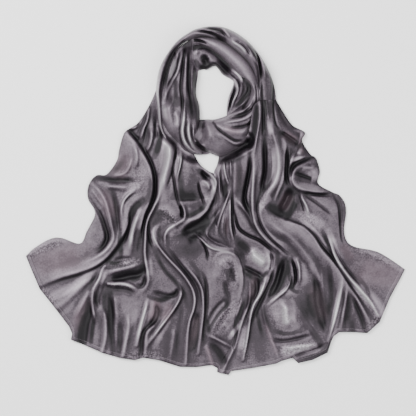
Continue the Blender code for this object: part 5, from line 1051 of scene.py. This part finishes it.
def patch(top: np.ndarray, bottom: np.ndarray, left: np.ndarray, right: np.ndarray) -> np.ndarray:
    """Plan points inside four edges.

    A Coons patch: the surface ruled from top to bottom, plus the one ruled from left to right, less the one
    through the four corners. It is then evened.

    Args:
        top: Points from the upper left corner to the upper right corner.
        bottom: As many points, from the lower left corner to the lower right corner.
        left: Points from the upper left corner to the lower left corner.
        right: As many points, from the upper right corner to the lower right corner.

    Returns:
        An array of rows, columns and two coordinates.
    """
    across = np.linspace(0.0, 1.0, len(top))[None, :, None]
    down = np.linspace(0.0, 1.0, len(left))[:, None, None]
    corners = (
        (1 - down) * (1 - across) * top[0] + (1 - down) * across * top[-1]
        + down * (1 - across) * bottom[0] + down * across * bottom[-1]
    )
    plan = (1 - down) * top[None] + down * bottom[None] - corners
    plan = plan + (1 - across) * left[:, None] + across * right[:, None]
    return evened(plan, EVENING_ROUNDS)


def in_metres(plan: np.ndarray) -> tuple[np.ndarray, np.ndarray]:
    """Frame x and y of plan points."""
    return (plan[..., 0] - PLAN_CENTRE[0]) * SQUARE, (PLAN_CENTRE[1] - plan[..., 1]) * SQUARE


def cell_steps(grid: np.ndarray) -> tuple[float, float]:
    """Mean distance between a grid's neighbouring rows and between its columns, in metres."""
    down = np.linalg.norm(np.diff(grid[..., :2], axis=0), axis=2).mean()
    across = np.linalg.norm(np.diff(grid[..., :2], axis=1), axis=2).mean()
    return float(down), float(across)


def painted_relief_shading(grid: np.ndarray) -> np.ndarray:
    """Painted light and shade: how high each point stands over the cloth round it, and which way it faces.

    The height over its own average within a few millimetres, and over the one within a wider window, are
    each divided by a typical relief and squeezed by a hyperbolic tangent: painted shade below the average,
    painted highlight above it. Crests are held back by a square law so that only the sharpest ones get a
    painted highlight; cells that face the light are painted brighter, and steep ones painted darker.

    Args:
        grid: Points of a stretch, rows by columns by three coordinates in metres.

    Returns:
        A grid of painted tones around 0: up to about 1 of painted highlight on crests and down to about -1 of
        painted shade in grooves.
    """
    down, across = cell_steps(grid)
    height = grid[..., 2]
    tone = np.zeros(height.shape)
    for window, relief, weight in TONE_WINDOWS:
        rows, columns = (max(1, round(window / (2.0 * step))) for step in (down, across))
        tone += weight * np.tanh((height - softened(height, rows, columns)) / relief)
    tone = np.where(tone > 0.0, tone * (CREST_LIFT[0] + CREST_LIFT[1] * tone), tone)
    normal = np.cross(np.gradient(grid, axis=1), np.gradient(grid, axis=0))
    normal *= np.sign(normal[..., 2:]) / np.maximum(np.linalg.norm(normal, axis=2, keepdims=True), 1e-12)
    fall = np.hypot(np.gradient(height, axis=0) / down, np.gradient(height, axis=1) / across)
    steep = np.minimum(fall, STEEPEST) ** 1.5
    return tone + LIT_SHARE * (normal @ np.array(LIT_FROM)) - STEEP_SHADE * steep


def shaded(points: np.ndarray, shades: tuple) -> np.ndarray:
    """Sum of a table's streaks at each plan point, 1 for the full span: painted light and shade, grain or
    blush.
    """
    return folded(points, shades, SHADE_PLATEAU) / SHADE_UNIT


def rimmed(grid: np.ndarray, drop: float, inset: int) -> np.ndarray:
    """A grid of points with two more rings round it, so that its edge turns down and under.

    The first ring is the edge lowered by a drop, the second one lies as low and some cells further in.

    Args:
        grid: Points, rows by columns by three coordinates.
        drop: How far the edge turns down, in metres.
        inset: How many cells in from the edge the second ring lies.

    Returns:
        The larger grid.
    """
    lowered = grid.copy()
    lowered[..., 2] = np.maximum(lowered[..., 2] - drop, LEAST_LEVEL)
    wide = np.pad(lowered, ((2, 2), (2, 2), (0, 0)), mode="edge")
    wide[2:-2, 2:-2] = grid
    wide[0, 2:-2], wide[-1, 2:-2] = lowered[inset], lowered[-1 - inset]
    wide[2:-2, 0], wide[2:-2, -1] = lowered[:, inset], lowered[:, -1 - inset]
    for row, inner_row in ((0, inset), (-1, -1 - inset)):
        for column, inner_column in ((0, inset), (-1, -1 - inset)):
            rows = slice(0, 2) if row == 0 else slice(-2, None)
            columns = slice(0, 2) if column == 0 else slice(-2, None)
            wide[rows, column] = lowered[inner_row, inner_column]
            wide[row, columns] = lowered[inner_row, inner_column]
    return wide


def cloth_mesh(name: str, grid: np.ndarray, tones: dict[str, np.ndarray]) -> bpy.types.Object:
    """A smooth surface through a grid of points, with its run along the cloth as UV map and its tones.

    Args:
        name: Object name.
        grid: Points, rows by columns by three coordinates in metres.
        tones: Attribute names and their values at the points.

    Returns:
        The new object, linked to the scene.
    """
    rows, columns = grid.shape[:2]
    index = np.arange(rows * columns).reshape(rows, columns)
    faces = np.stack([index[:-1, :-1], index[1:, :-1], index[1:, 1:], index[:-1, 1:]], axis=-1)
    faces = faces.reshape(-1, 4)
    mesh = bpy.data.meshes.new(name)
    mesh.from_pydata(grid.reshape(-1, 3).tolist(), [], faces.tolist())
    down, across = cell_steps(grid)
    run = np.stack(
        np.meshgrid(np.arange(columns) * across, np.arange(rows) * down, indexing="xy"), axis=-1
    ).reshape(-1, 2)
    layer = mesh.uv_layers.new(name="run_of_cloth")
    layer.data.foreach_set("uv", run[faces.reshape(-1)].astype(np.float32).ravel())
    for label, values in tones.items():
        attribute = mesh.attributes.new(label, "FLOAT", "POINT")
        attribute.data.foreach_set("value", values.astype(np.float32).ravel())
    mesh.shade_smooth()
    mesh.update()
    return shown(name, mesh)


def shown(name: str, data: bpy.types.ID) -> bpy.types.Object:
    """A new object with a mesh, light or camera, linked to the scene."""
    made = bpy.data.objects.new(name, data)
    bpy.context.scene.collection.objects.link(made)
    return made


class Reading:
    """A value read from a shader node, with plain arithmetic: every sum or product of it is a Math node."""

    def __init__(self, shader: "Shader", socket: bpy.types.NodeSocket) -> None:
        """Keep the shader and the output socket that the value comes from."""
        self.shader = shader
        self.socket = socket

    def maths(self, operation: str, *others: "Reading | float", clamp: bool = False) -> "Reading":
        """One Math node on this value and up to two others."""
        node = self.shader.tree.nodes.new("ShaderNodeMath")
        node.operation = operation
        node.use_clamp = clamp
        for socket, value in zip(node.inputs, (self, *others)):
            self.shader.join(socket, value)
        return Reading(self.shader, node.outputs[0])

    def __add__(self, other: "Reading | float") -> "Reading":
        """Sum."""
        return self.maths("ADD", other)

    def __sub__(self, other: "Reading | float") -> "Reading":
        """Difference."""
        return self.maths("SUBTRACT", other)

    def __mul__(self, other: "Reading | float") -> "Reading":
        """Product."""
        return self.maths("MULTIPLY", other)

    def __pow__(self, other: "Reading | float") -> "Reading":
        """Power."""
        return self.maths("POWER", other)

    __radd__ = __add__
    __rmul__ = __mul__

    def held(self) -> "Reading":
        """The value held between 0 and 1."""
        return self.maths("ADD", 0.0, clamp=True)


class Shader:
    """The node tree of one material."""

    def __init__(self, name: str) -> None:
        """Make a material with a Principled shader."""
        self.material = bpy.data.materials.new(name)
        self.material.use_nodes = True
        self.tree = self.material.node_tree
        self.surface = next(node for node in self.tree.nodes if node.type == "BSDF_PRINCIPLED")

    def join(self, socket: bpy.types.NodeSocket, value: "Reading | float | tuple") -> None:
        """Link a reading to a socket, or set the socket to a plain value."""
        if isinstance(value, Reading):
            self.tree.links.new(value.socket, socket)
        else:
            socket.default_value = value

    def node(self, kind: str, output: "str | int", inputs: dict, **settings: object) -> Reading:
        """Any node but a Math node.

        Args:
            kind: Blender's name for the node.
            output: Name or number of the output to read.
            inputs: Names or numbers of inputs, and their values or readings.
            **settings: Properties of the node.

        Returns:
            The reading of the output.
        """
        made = self.tree.nodes.new(kind)
        for key, value in settings.items():
            setattr(made, key, value)
        for key, value in inputs.items():
            self.join(made.inputs[key], value)
        return Reading(self, made.outputs[output])

    def attribute(self, name: str) -> Reading:
        """The value of a mesh attribute."""
        return self.node("ShaderNodeAttribute", "Fac", {}, attribute_name=name)

    def noise(self, scale: float, detail: float, stretch: tuple = (1.0, 1.0, 1.0)) -> Reading:
        """Noise in the piece's own coordinates, at a scale in cycles a metre."""
        place = self.node("ShaderNodeTexCoord", "Object", {})
        place = self.node("ShaderNodeMapping", "Vector", {"Vector": place, "Scale": stretch})
        inputs = {"Vector": place, "Scale": scale, "Detail": detail, "Roughness": 0.55}
        return self.node("ShaderNodeTexNoise", "Fac", inputs)

    def blend(self, share: "Reading | float", first: "Reading | tuple", second: "Reading | tuple") -> Reading:
        """Two colours mixed by a share of the second."""
        return self.node("ShaderNodeMix", 2, {0: share, 6: first, 7: second}, data_type="RGBA")

    def bump(self, height: Reading, depth: float, below: "Reading | None" = None) -> Reading:
        """A bumped normal, its depth in metres, on top of another one."""
        inputs = {"Height": height, "Strength": 1.0, "Distance": depth}
        if below is not None:
            inputs["Normal"] = below
        return self.node("ShaderNodeBump", "Normal", inputs)


class Mark(Enum):
    """The values at each point of a cloth that its satin reads, by the names of their attributes."""

    # Painted light and shade: groove shade, crest highlights and the painted streaks
    PAINTED_SHADING = "tone"
    GRAIN = "grain"
    BLUSH = "blush"


@dataclass(frozen=True)
class Satin:
    """Mauve grey satin: its colours from the painted shade of the grooves to the painted highlight of the
    crests, and its gloss.
    """

    name: str = "mauve_grey_satin"
    # deep and shade are painted shade colours for the grooves, shine a painted highlight colour for the
    # crests
    deep: tuple = (0.004, 0.003, 0.0045, 1.0)
    shade: tuple = (0.040, 0.031, 0.040, 1.0)
    body: tuple = (0.165, 0.138, 0.164, 1.0)
    shine: tuple = (0.38, 0.365, 0.385, 1.0)
    blush: tuple = (0.15, 0.105, 0.128, 1.0)
    fine_scale: float = 330.0
    mottle_scale: float = 45.0
    mottle_share: float = 0.35
    weave_scale: float = 1500.0
    weave_depth: float = 0.00012
    crumple_scale: float = 260.0
    crumple_depth: float = 0.0016
    roughness: float = 0.42
    metal: float = 0.35
    sheen: float = 0.04
    sheen_roughness: float = 0.35
    specular: float = 0.25
    anisotropy: float = 0.35

    def material(self) -> bpy.types.Material:
        """The finish as a material.

        The tone, painted light and shade, runs from -1 in the grooves over 0 to 1 on the crests: it is
        stepped from the painted shade of the deep colour over the shade and the body colour to the painted
        highlight of the shine, each step a straight line of it held between 0 and 1. The grain roughens and
        crumples the cloth, and the blush reddens it, less in the grooves.
        """
        shader = Shader(self.name)
        tone = shader.attribute(Mark.PAINTED_SHADING.value)
        grain = shader.attribute(Mark.GRAIN.value)
        fine = shader.noise(self.fine_scale, 4.0) - 0.5
        mottle = shader.noise(self.mottle_scale, 2.0) - 0.5
        tone = tone + fine * (grain * 1.8 + 0.5) + mottle * self.mottle_share
        # Painted shade in the grooves and painted highlight on the crests, stepped by the tone
        colour = shader.blend((tone * 1.4 + 1.6).held(), self.deep, self.shade)
        colour = shader.blend((tone * 1.8 + 1.0).held(), colour, self.body)
        colour = shader.blend((tone * 1.15).held(), colour, self.shine)
        blush = (shader.attribute(Mark.BLUSH.value) * (tone * 0.5 + 0.8).held()).held()
        colour = shader.blend(blush, colour, self.blush)
        weave = shader.bump(shader.noise(self.weave_scale, 2.0, (1.0, 0.3, 1.0)), self.weave_depth)
        crumple = shader.noise(self.crumple_scale, 3.0) * (grain * 0.9 + 0.1)
        surface = shader.surface.inputs
        shader.join(surface["Base Color"], colour)
        shader.join(surface["Roughness"], (tone * -0.06 + self.roughness).held())
        shader.join(surface["Normal"], shader.bump(crumple, self.crumple_depth, weave))
        shader.join(surface["Metallic"], self.metal)
        shader.join(surface["Sheen Weight"], self.sheen)
        shader.join(surface["Sheen Roughness"], self.sheen_roughness)
        shader.join(surface["Specular IOR Level"], self.specular)
        shader.join(surface["Anisotropic"], self.anisotropy)
        return shader.material


@dataclass(frozen=True)
class Plain:
    """A finish of one colour and roughness."""

    name: str
    colour: tuple
    roughness: float

    def material(self) -> bpy.types.Material:
        """The finish as a material."""
        shader = Shader(self.name)
        shader.join(shader.surface.inputs["Base Color"], self.colour)
        shader.join(shader.surface.inputs["Roughness"], self.roughness)
        return shader.material


HEM_THREAD = Plain("hem_thread", (0.20, 0.165, 0.195, 1.0), 0.6)


@dataclass
class Stretch:
    """One stretch of the scarf that shows: a grid of cloth on the form of its solid."""

    name: str
    node: str
    folds: tuple
    shades: tuple = ()
    grains: tuple = ()
    blushes: tuple = ()
    pressed_margins: tuple = ()
    held: str = "folded"
    flat: tuple[float, float] = (0.7, 0.3)
    rests_on: tuple[str, ...] = ()
    tone_level: float = 0.0
    tone_gain: float = 1.0
    edge_drop: float = 1.0 * MM
    edge_inset: int = 3
    grid: np.ndarray = field(default_factory=lambda: np.zeros((0, 0, 3)))

    def points(self) -> np.ndarray:
        """The grid's points, rows by columns by three coordinates in metres."""
        raise NotImplementedError

    def relief(self) -> np.ndarray:
        """The grid whose heights the tone follows."""
        return self.grid

    def tones(self) -> dict[str, np.ndarray]:
        """Painted light and shade (the tone), grain and blush at each point of the grid, and at the rings
        round it.
        """
        plan = self.on_plan()
        count = self.grid.shape[:2]
        # Painted shade and highlight from the relief, plus the painted streaks of the shade table
        relief = painted_relief_shading(self.relief()) + shaded(plan, self.shades).reshape(count)
        tone = self.tone_level + self.tone_gain * relief
        found = {
            Mark.PAINTED_SHADING: np.clip(tone, -TONE_SPAN, TONE_SPAN),
            Mark.GRAIN: np.clip(shaded(plan, self.grains), 0.0, 1.0).reshape(count),
            Mark.BLUSH: np.clip(shaded(plan, self.blushes), 0.0, 1.0).reshape(count),
        }
        return {mark.value: np.pad(values, 2, mode="edge") for mark, values in found.items()}

    def on_plan(self) -> np.ndarray:
        """Plan squares of the grid's points, as two columns."""
        x, y = self.grid[..., 0], self.grid[..., 1]
        return np.stack([x / SQUARE + PLAN_CENTRE[0], PLAN_CENTRE[1] - y / SQUARE], axis=-1).reshape(-1, 2)

    def build(self, finish: bpy.types.Material) -> bpy.types.Object:
        """Args:
            finish: The satin.

        Returns:
            The piece, in place of its CAD node.
        """
        self.grid = self.points()
        cloth = cloth_mesh(self.name, rimmed(self.grid, self.edge_drop, self.edge_inset), self.tones())
        cloth.data.materials.append(finish)
        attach(cloth, "root")
        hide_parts(self.node)
        faces = len(cloth.data.polygons)
        LOG.info("%s: %d faces, %.3f square metres", self.name, faces, area_of(cloth))
        return cloth


@dataclass
class EndPanel(Stretch):
    """One fanned end of the scarf, from the neck ring to its hem, lying on the floor in folds."""

    top: tuple = ()
    bottom: tuple = ()
    left: tuple = ()
    right: tuple = ()
    lifted_places: tuple = ()
    rows: int = 300
    columns: int = 300
    near_ring: float = 14.0 * MM
    at_hem: float = 5.0 * MM
    side_share: float = 0.95
    hem_reached: float = 1.15

    def points(self) -> np.ndarray:
        """The grid inside the end's four edges, at its mean height plus its folds, held over the floor.

        The mean height eases from the one near the ring to the one at the hem, and falls with the cube of
        the way to either side. Where height and folds sink under the floor, a hyperbola keeps them on it.
        """
        rows, columns = thinned(self.rows), thinned(self.columns)
        down, across = np.linspace(0.0, 1.0, rows + 1), np.linspace(0.0, 1.0, columns + 1)
        sides = [self.side_points(side, down) for side in (self.left, self.right)]
        plan = patch(
            points_along(self.top, across), points_along(self.bottom, across, keep_corners=True), *sides
        )
        points = plan.reshape(-1, 2)
        sideways = np.abs(2.0 * across - 1.0)[None, :] ** 3
        mean = self.near_ring + (self.at_hem - self.near_ring) * ease(down * self.hem_reached)[:, None]
        raised = (mean * (1.0 - self.side_share * sideways)).reshape(-1) + folded(points, self.folds)
        raised = np.maximum((raised + np.sqrt(raised**2 + FLOOR_BLEND**2)) / 2 - FLOOR_PRESS, 0.0)
        height = lifted(points, pressed(points, raised + WALL, self.pressed_margins), self.lifted_places)
        height = softened(np.maximum(height, WALL).reshape(plan.shape[:2]), 1, 1)
        return np.stack([*in_metres(plan), height], axis=-1)

    def side_points(self, side: tuple, marks: np.ndarray) -> np.ndarray:
        """Points down one side, which is a path or several paths joined end to end."""
        paths = side if isinstance(side[0][0], tuple) else (side,)
        curves = [np.array(path, dtype=float) for path in paths]
        joined = np.vstack([curves[0], *[curve[1:] for curve in curves[1:]]])
        return points_along(tuple(map(tuple, joined)), marks)


@dataclass
class WoundStretch(Stretch):
    """One wound stretch of the neck ring: pleated cloth over a rounded, flat-bottomed roll."""

    first: tuple = ()
    second: tuple = ()
    crown: tuple = ()
    rests: tuple = ()
    rows: int = 220
    columns: int = 72
    runs_into: EndPanel | None = None

    def points(self) -> np.ndarray:
        """The grid between the stretch's two edges, on its roll.

        Across the stretch, the roll is the crown's height times the root of 1 - fullness u^power, where u
        runs from -1 at one edge to 1 at the other; the pleats are added, faded out towards both edges.
        """
        rows, columns = thinned(self.rows), thinned(self.columns)
        marks = np.linspace(0.0, 1.0, rows + 1)
        share = np.linspace(0.0, 1.0, columns + 1)[None, :, None]
        plan = (1 - share) * points_along(self.first, marks)[:, None]
        plan = plan + share * points_along(self.second, marks)[:, None]
        down, across = plan[1:, :-1] - plan[:-1, :-1], plan[:-1, 1:] - plan[:-1, :-1]
        if (down[..., 0] * across[..., 1] - down[..., 1] * across[..., 0]).sum() > 0:
            plan = plan[:, ::-1]
        points = plan.reshape(-1, 2)
        count = plan.shape[:2]
        sideways = np.abs(np.linspace(-1.0, 1.0, columns + 1))[None, :]
        roll = np.sqrt(1.0 - ROLL_FULLNESS * sideways**ROLL_POWER)
        under = rest_level(points, self.rests).reshape(count)
        shares, heights = zip(*self.crown)
        body = np.interp(marks, shares, heights)[:, None] * MM * roll
        height = body + folded(points, self.folds).reshape(count) * np.minimum(1.0, 1.3 * roll)
        height = pressed(points, height.reshape(-1), self.pressed_margins).reshape(count)
        height = softened(np.maximum(height, under + BAND_EDGE), 1, 1)
        if self.runs_into is not None:
            edge = self.runs_into.grid[0]
            level = np.interp(in_metres(plan)[0], edge[:, 0], edge[:, 2])
            height = height + (level - height) * ease((marks[:, None] - RUN_OUT) / (1.0 - RUN_OUT))
        return np.stack([*in_metres(plan), height], axis=-1)

    def relief(self) -> np.ndarray:
        """The stretch's pleats alone: its roll leaves the tone as it is."""
        pleats = self.grid.copy()
        pleats[..., 2] = folded(self.on_plan(), self.folds).reshape(pleats.shape[:2])
        return pleats


@dataclass
class Hem:
    """The narrow double turn along the scarf's short end and the corner of its long side, with its stitches.

    It lies on the panel: a strip of the panel's own points, moved up by its lift.
    """

    name: str
    panel: EndPanel
    width: float = 9.0 * MM
    lift: float = 0.45 * MM
    stitch_run: float = 3.2 * MM
    stitch_length: float = 2.0 * MM
    stitch_width: float = 0.45 * MM
    lift_across: tuple = (0.1, 1, 1, 1, 1, 1, 1, 1, 0.3)
    # Painted shade along the strip's inner edge and the hem, a faint painted highlight between
    painted_shading_across: tuple = (-0.25, 0.1, 0.12, 0.08, 0.06, 0.04, 0.0, -0.1, -0.45)

    def stepped_in(self, values: np.ndarray) -> np.ndarray:
        """Values of the panel's grid at even distances in from the hem, a row for each step across."""
        grid, values = self.panel.grid[::-1], values[::-1]
        gaps = np.linalg.norm(np.diff(grid[..., :2], axis=0), axis=2)
        run = np.vstack([np.zeros(grid.shape[1]), np.cumsum(gaps, axis=0)])
        steps = np.linspace(0.0, self.width, len(self.lift_across))
        columns = range(grid.shape[1])
        found = [np.interp(steps, run[:, column], values[:, column]) for column in columns]
        return np.stack(found, axis=1)[::-1]

    def strip(self) -> np.ndarray:
        """Points of the strip, moved up by its lift."""
        points = np.stack([self.stepped_in(self.panel.grid[..., axis]) for axis in range(3)], axis=-1)
        points[..., 2] += self.lift * np.array(self.lift_across)[:, None]
        return points

    def strip_tones(self) -> dict[str, np.ndarray]:
        """The panel's own tones, with painted shade along the strip's inner edge and along the hem itself."""
        tones = {label: values[2:-2, 2:-2] for label, values in self.panel.tones().items()}
        found = {label: self.stepped_in(values) for label, values in tones.items()}
        found[Mark.PAINTED_SHADING.value] += np.array(self.painted_shading_across)[:, None]
        return found

    def build(self, finish: bpy.types.Material, thread: bpy.types.Material) -> list[bpy.types.Object]:
        """Make the strip and its row of stitches.

        Args:
            finish: The satin.
            thread: The sewing thread.

        Returns:
            Both pieces.
        """
        points = self.strip()
        strip = cloth_mesh(self.name, points, self.strip_tones())
        strip.data.materials.append(finish)
        stitches = self.stitches(points[1])
        stitches.data.materials.append(thread)
        for piece in (strip, stitches):
            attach(piece, "root")
        LOG.info("%s: strip and %d faces of stitches", self.name, len(stitches.data.polygons))
        return [strip, stitches]

    def stitches(self, line: np.ndarray) -> bpy.types.Object:
        """Stitches in a row along a line of the strip, each a low ridge over a small rectangle.

        Args:
            line: Points of the line, three coordinates in metres.

        Returns:
            All stitches as one object.
        """
        run = np.concatenate([[0.0], np.cumsum(np.linalg.norm(np.diff(line, axis=0), axis=1))])
        middles = np.arange(self.stitch_run, run[-1] - self.stitch_run, self.stitch_run)
        place, ahead = (
            np.column_stack([np.interp(middles + step, run, line[:, axis]) for axis in range(3)])
            for step in (0.0, 1.0 * MM)
        )
        ahead -= place
        ahead /= np.linalg.norm(ahead, axis=1, keepdims=True)
        aside = np.stack([-ahead[:, 1], ahead[:, 0], np.zeros(len(ahead))], axis=1)
        corners = np.array([(-1, -1, 0), (1, -1, 0), (1, 1, 0), (-1, 1, 0), (-0.7, 0, 1), (0.7, 0, 1)])
        half = np.array([self.stitch_length / 2, self.stitch_width / 2, self.stitch_width * 0.7])
        points = (
            place[:, None]
            + corners[None, :, :1] * half[0] * ahead[:, None]
            + corners[None, :, 1:2] * half[1] * aside[:, None]
            + corners[None, :, 2:] * half[2] * np.array([0.0, 0.0, 1.0])
        )
        faces = np.array([(0, 1, 5, 4), (2, 3, 4, 5)])
        ends = np.array([(1, 2, 5), (3, 0, 4)])
        first = np.arange(len(place))[:, None, None] * 6
        mesh = bpy.data.meshes.new(self.name + "_stitches")
        mesh.from_pydata(
            points.reshape(-1, 3).tolist(),
            [],
            (first + faces).reshape(-1, 4).tolist() + (first + ends).reshape(-1, 3).tolist(),
        )
        mesh.update()
        return shown(mesh.name, mesh)


@dataclass
class Studio:
    """A pale floor, soft lights and the camera straight over the scarf."""

    camera_height: float = 5.0
    sensor: float = 36.0
    key_power: float = 110.0
    fill_power: float = 66.0
    floor_half: float = 6.0
    floor_colour: tuple = (0.96, 0.96, 0.96, 1.0)
    floor_roughness: float = 0.9
    sky_strength: float = 0.8

    def light(self, name: str, place: tuple, size: float, power: float) -> bpy.types.Object:
        """A square area light that looks at the scarf.

        Args:
            name: Object name.
            place: Where it stands, in metres.
            size: Length of its side.
            power: Its power in watts.

        Returns:
            The light.
        """
        lamp = bpy.data.lights.new(name, "AREA")
        lamp.shape = "SQUARE"
        lamp.size = size
        lamp.energy = power
        holder = shown(name, lamp)
        holder.location = place
        holder.rotation_euler = (-Vector(place)).to_track_quat("-Z", "Y").to_euler()
        holder.visible_camera = False
        return holder

    def floor(self) -> bpy.types.Object:
        """The pale floor that the scarf lies on."""
        mesh = bpy.data.meshes.new("floor")
        half = self.floor_half
        corners = [(-half, -half, 0), (half, -half, 0), (half, half, 0), (-half, half, 0)]
        mesh.from_pydata(corners, [], [(0, 1, 2, 3)])
        mesh.materials.append(Plain("pale_floor", self.floor_colour, self.floor_roughness).material())
        return shown("floor", mesh)

    def sky(self) -> None:
        """Even white light from all round."""
        sky = bpy.data.worlds.new("soft_room")
        sky.use_nodes = True
        background = sky.node_tree.nodes["Background"].inputs
        background["Color"].default_value = (1.0, 1.0, 1.0, 1.0)
        background["Strength"].default_value = self.sky_strength
        bpy.context.scene.world = sky

    def camera(self) -> bpy.types.Object:
        """The camera over the middle of the plan, which it takes in from edge to edge."""
        lens = bpy.data.cameras.new("camera")
        lens.sensor_width = self.sensor
        lens.lens = self.sensor * self.camera_height / (PLAN_SIDE * SQUARE)
        eye = shown("camera", lens)
        x, y = in_metres(np.array([PLAN_SIDE / 2, PLAN_SIDE / 2]))
        eye.location = (x, y, self.camera_height)
        bpy.context.scene.camera = eye
        return eye

    def build(self) -> None:
        """Make the floor, the lights, the sky and the camera."""
        floor = self.floor()
        lights = [
            self.light("key", (-1.5, 1.1, 2.2), 1.4, self.key_power),
            self.light("overhead", (0.0, 0.0, 3.4), 2.2, self.fill_power),
            self.light("side", (1.9, -0.4, 1.8), 1.4, self.fill_power * 0.5),
        ]
        self.sky()
        eye = self.camera()


def area_of(cloth: bpy.types.Object) -> float:
    """Surface area of a mesh, in square metres."""
    areas = np.zeros(len(cloth.data.polygons))
    cloth.data.polygons.foreach_get("area", areas)
    return float(areas.sum())


def thinned(count: int) -> int:
    return count


def scarf_stretches() -> list[Stretch]:
    """The six stretches of the scarf that show."""
    ends = {
        "folds": LEFT_FOLDS + RIGHT_FOLDS,
        "shades": LEFT_PAINTED_SHADES + RIGHT_PAINTED_SHADES,
        "grains": LEFT_GRAINS + RIGHT_GRAINS,
        "blushes": LEFT_BLUSHES + RIGHT_BLUSHES,
        "tone_level": END_LEVEL,
        "rests_on": ("floor",),
    }
    ring = {"tone_level": RING_LEVEL, "tone_gain": RING_GAIN}
    left_end = EndPanel(
        "left_end", "left_tail", **ends, pressed_margins=LEFT_PRESSED, flat=(0.52, 0.32), top=LEFT_TUCK,
        bottom=LEFT_HEM, left=LEFT_OUTLINE, right=MIDDLE_SEAM,
    )
    right_end = EndPanel(
        "right_end", "right_tail", **ends, pressed_margins=RIGHT_PRESSED, flat=(0.47, 0.32), top=RIGHT_TUCK,
        bottom=RIGHT_HEM, left=(HOLE_SIDE, MIDDLE_SEAM), right=RIGHT_OUTLINE, lifted_places=RIGHT_LIFTED,
        rows=310, columns=290, near_ring=26.0 * MM,
    )
    back = WoundStretch(
        "back_stretch", "loop_back", BACK_FOLDS, BACK_PAINTED_SHADES, **ring, pressed_margins=BACK_PRESSED,
        flat=(0.08, 0.15), first=BACK_INNER, second=BACK_OUTER, crown=BACK_CROWN, rests_on=("floor",),
    )
    front = WoundStretch(
        "front_stretch", "loop_front", FRONT_FOLDS, FRONT_PAINTED_SHADES, **ring, pressed_margins=FRONT_PRESSED,
        blushes=FRONT_BLUSHES, flat=(0.09, 0.28), first=FRONT_LOWER, second=FRONT_UPPER,
        crown=FRONT_CROWN, rests=FRONT_RESTS, rests_on=("left_end",),
    )
    left = WoundStretch(
        "left_stretch", "loop_left", LEFT_BAND_FOLDS, LEFT_BAND_PAINTED_SHADES, **ring,
        pressed_margins=LEFT_BAND_PRESSED, flat=(0.09, 0.25), first=LEFT_BAND_OUTER,
        second=LEFT_BAND_INNER, crown=LEFT_BAND_CROWN, rests=LEFT_BAND_RESTS,
        rests_on=("left_end", "front_stretch"),
    )
    top = WoundStretch(
        "top_stretch", "loop_top", TOP_FOLDS, TOP_PAINTED_SHADES, **ring, flat=(0.07, 0.32), first=TOP_OUTER,
        second=TOP_INNER, crown=TOP_CROWN, rests=TOP_RESTS, rests_on=("left_stretch", "back_stretch"),
        rows=300, runs_into=right_end,
    )
    return [left_end, right_end, back, front, left, top]


def main() -> None:
    """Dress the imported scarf, piece by piece, and set the studio."""
    logging.basicConfig(level=logging.INFO, format="%(name)s: %(message)s")
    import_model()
    satin = Satin().material()
    thread = HEM_THREAD.material()
    stretches = scarf_stretches()
    pieces = {stretch.name: stretch.build(satin) for stretch in stretches}
    hems = {
        stretch.name: Hem(f"{stretch.name}_hem", stretch).build(satin, thread)
        for stretch in stretches
        if isinstance(stretch, EndPanel)
    }
    Studio().build()
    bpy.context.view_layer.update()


if __name__ == "__main__":
    main()
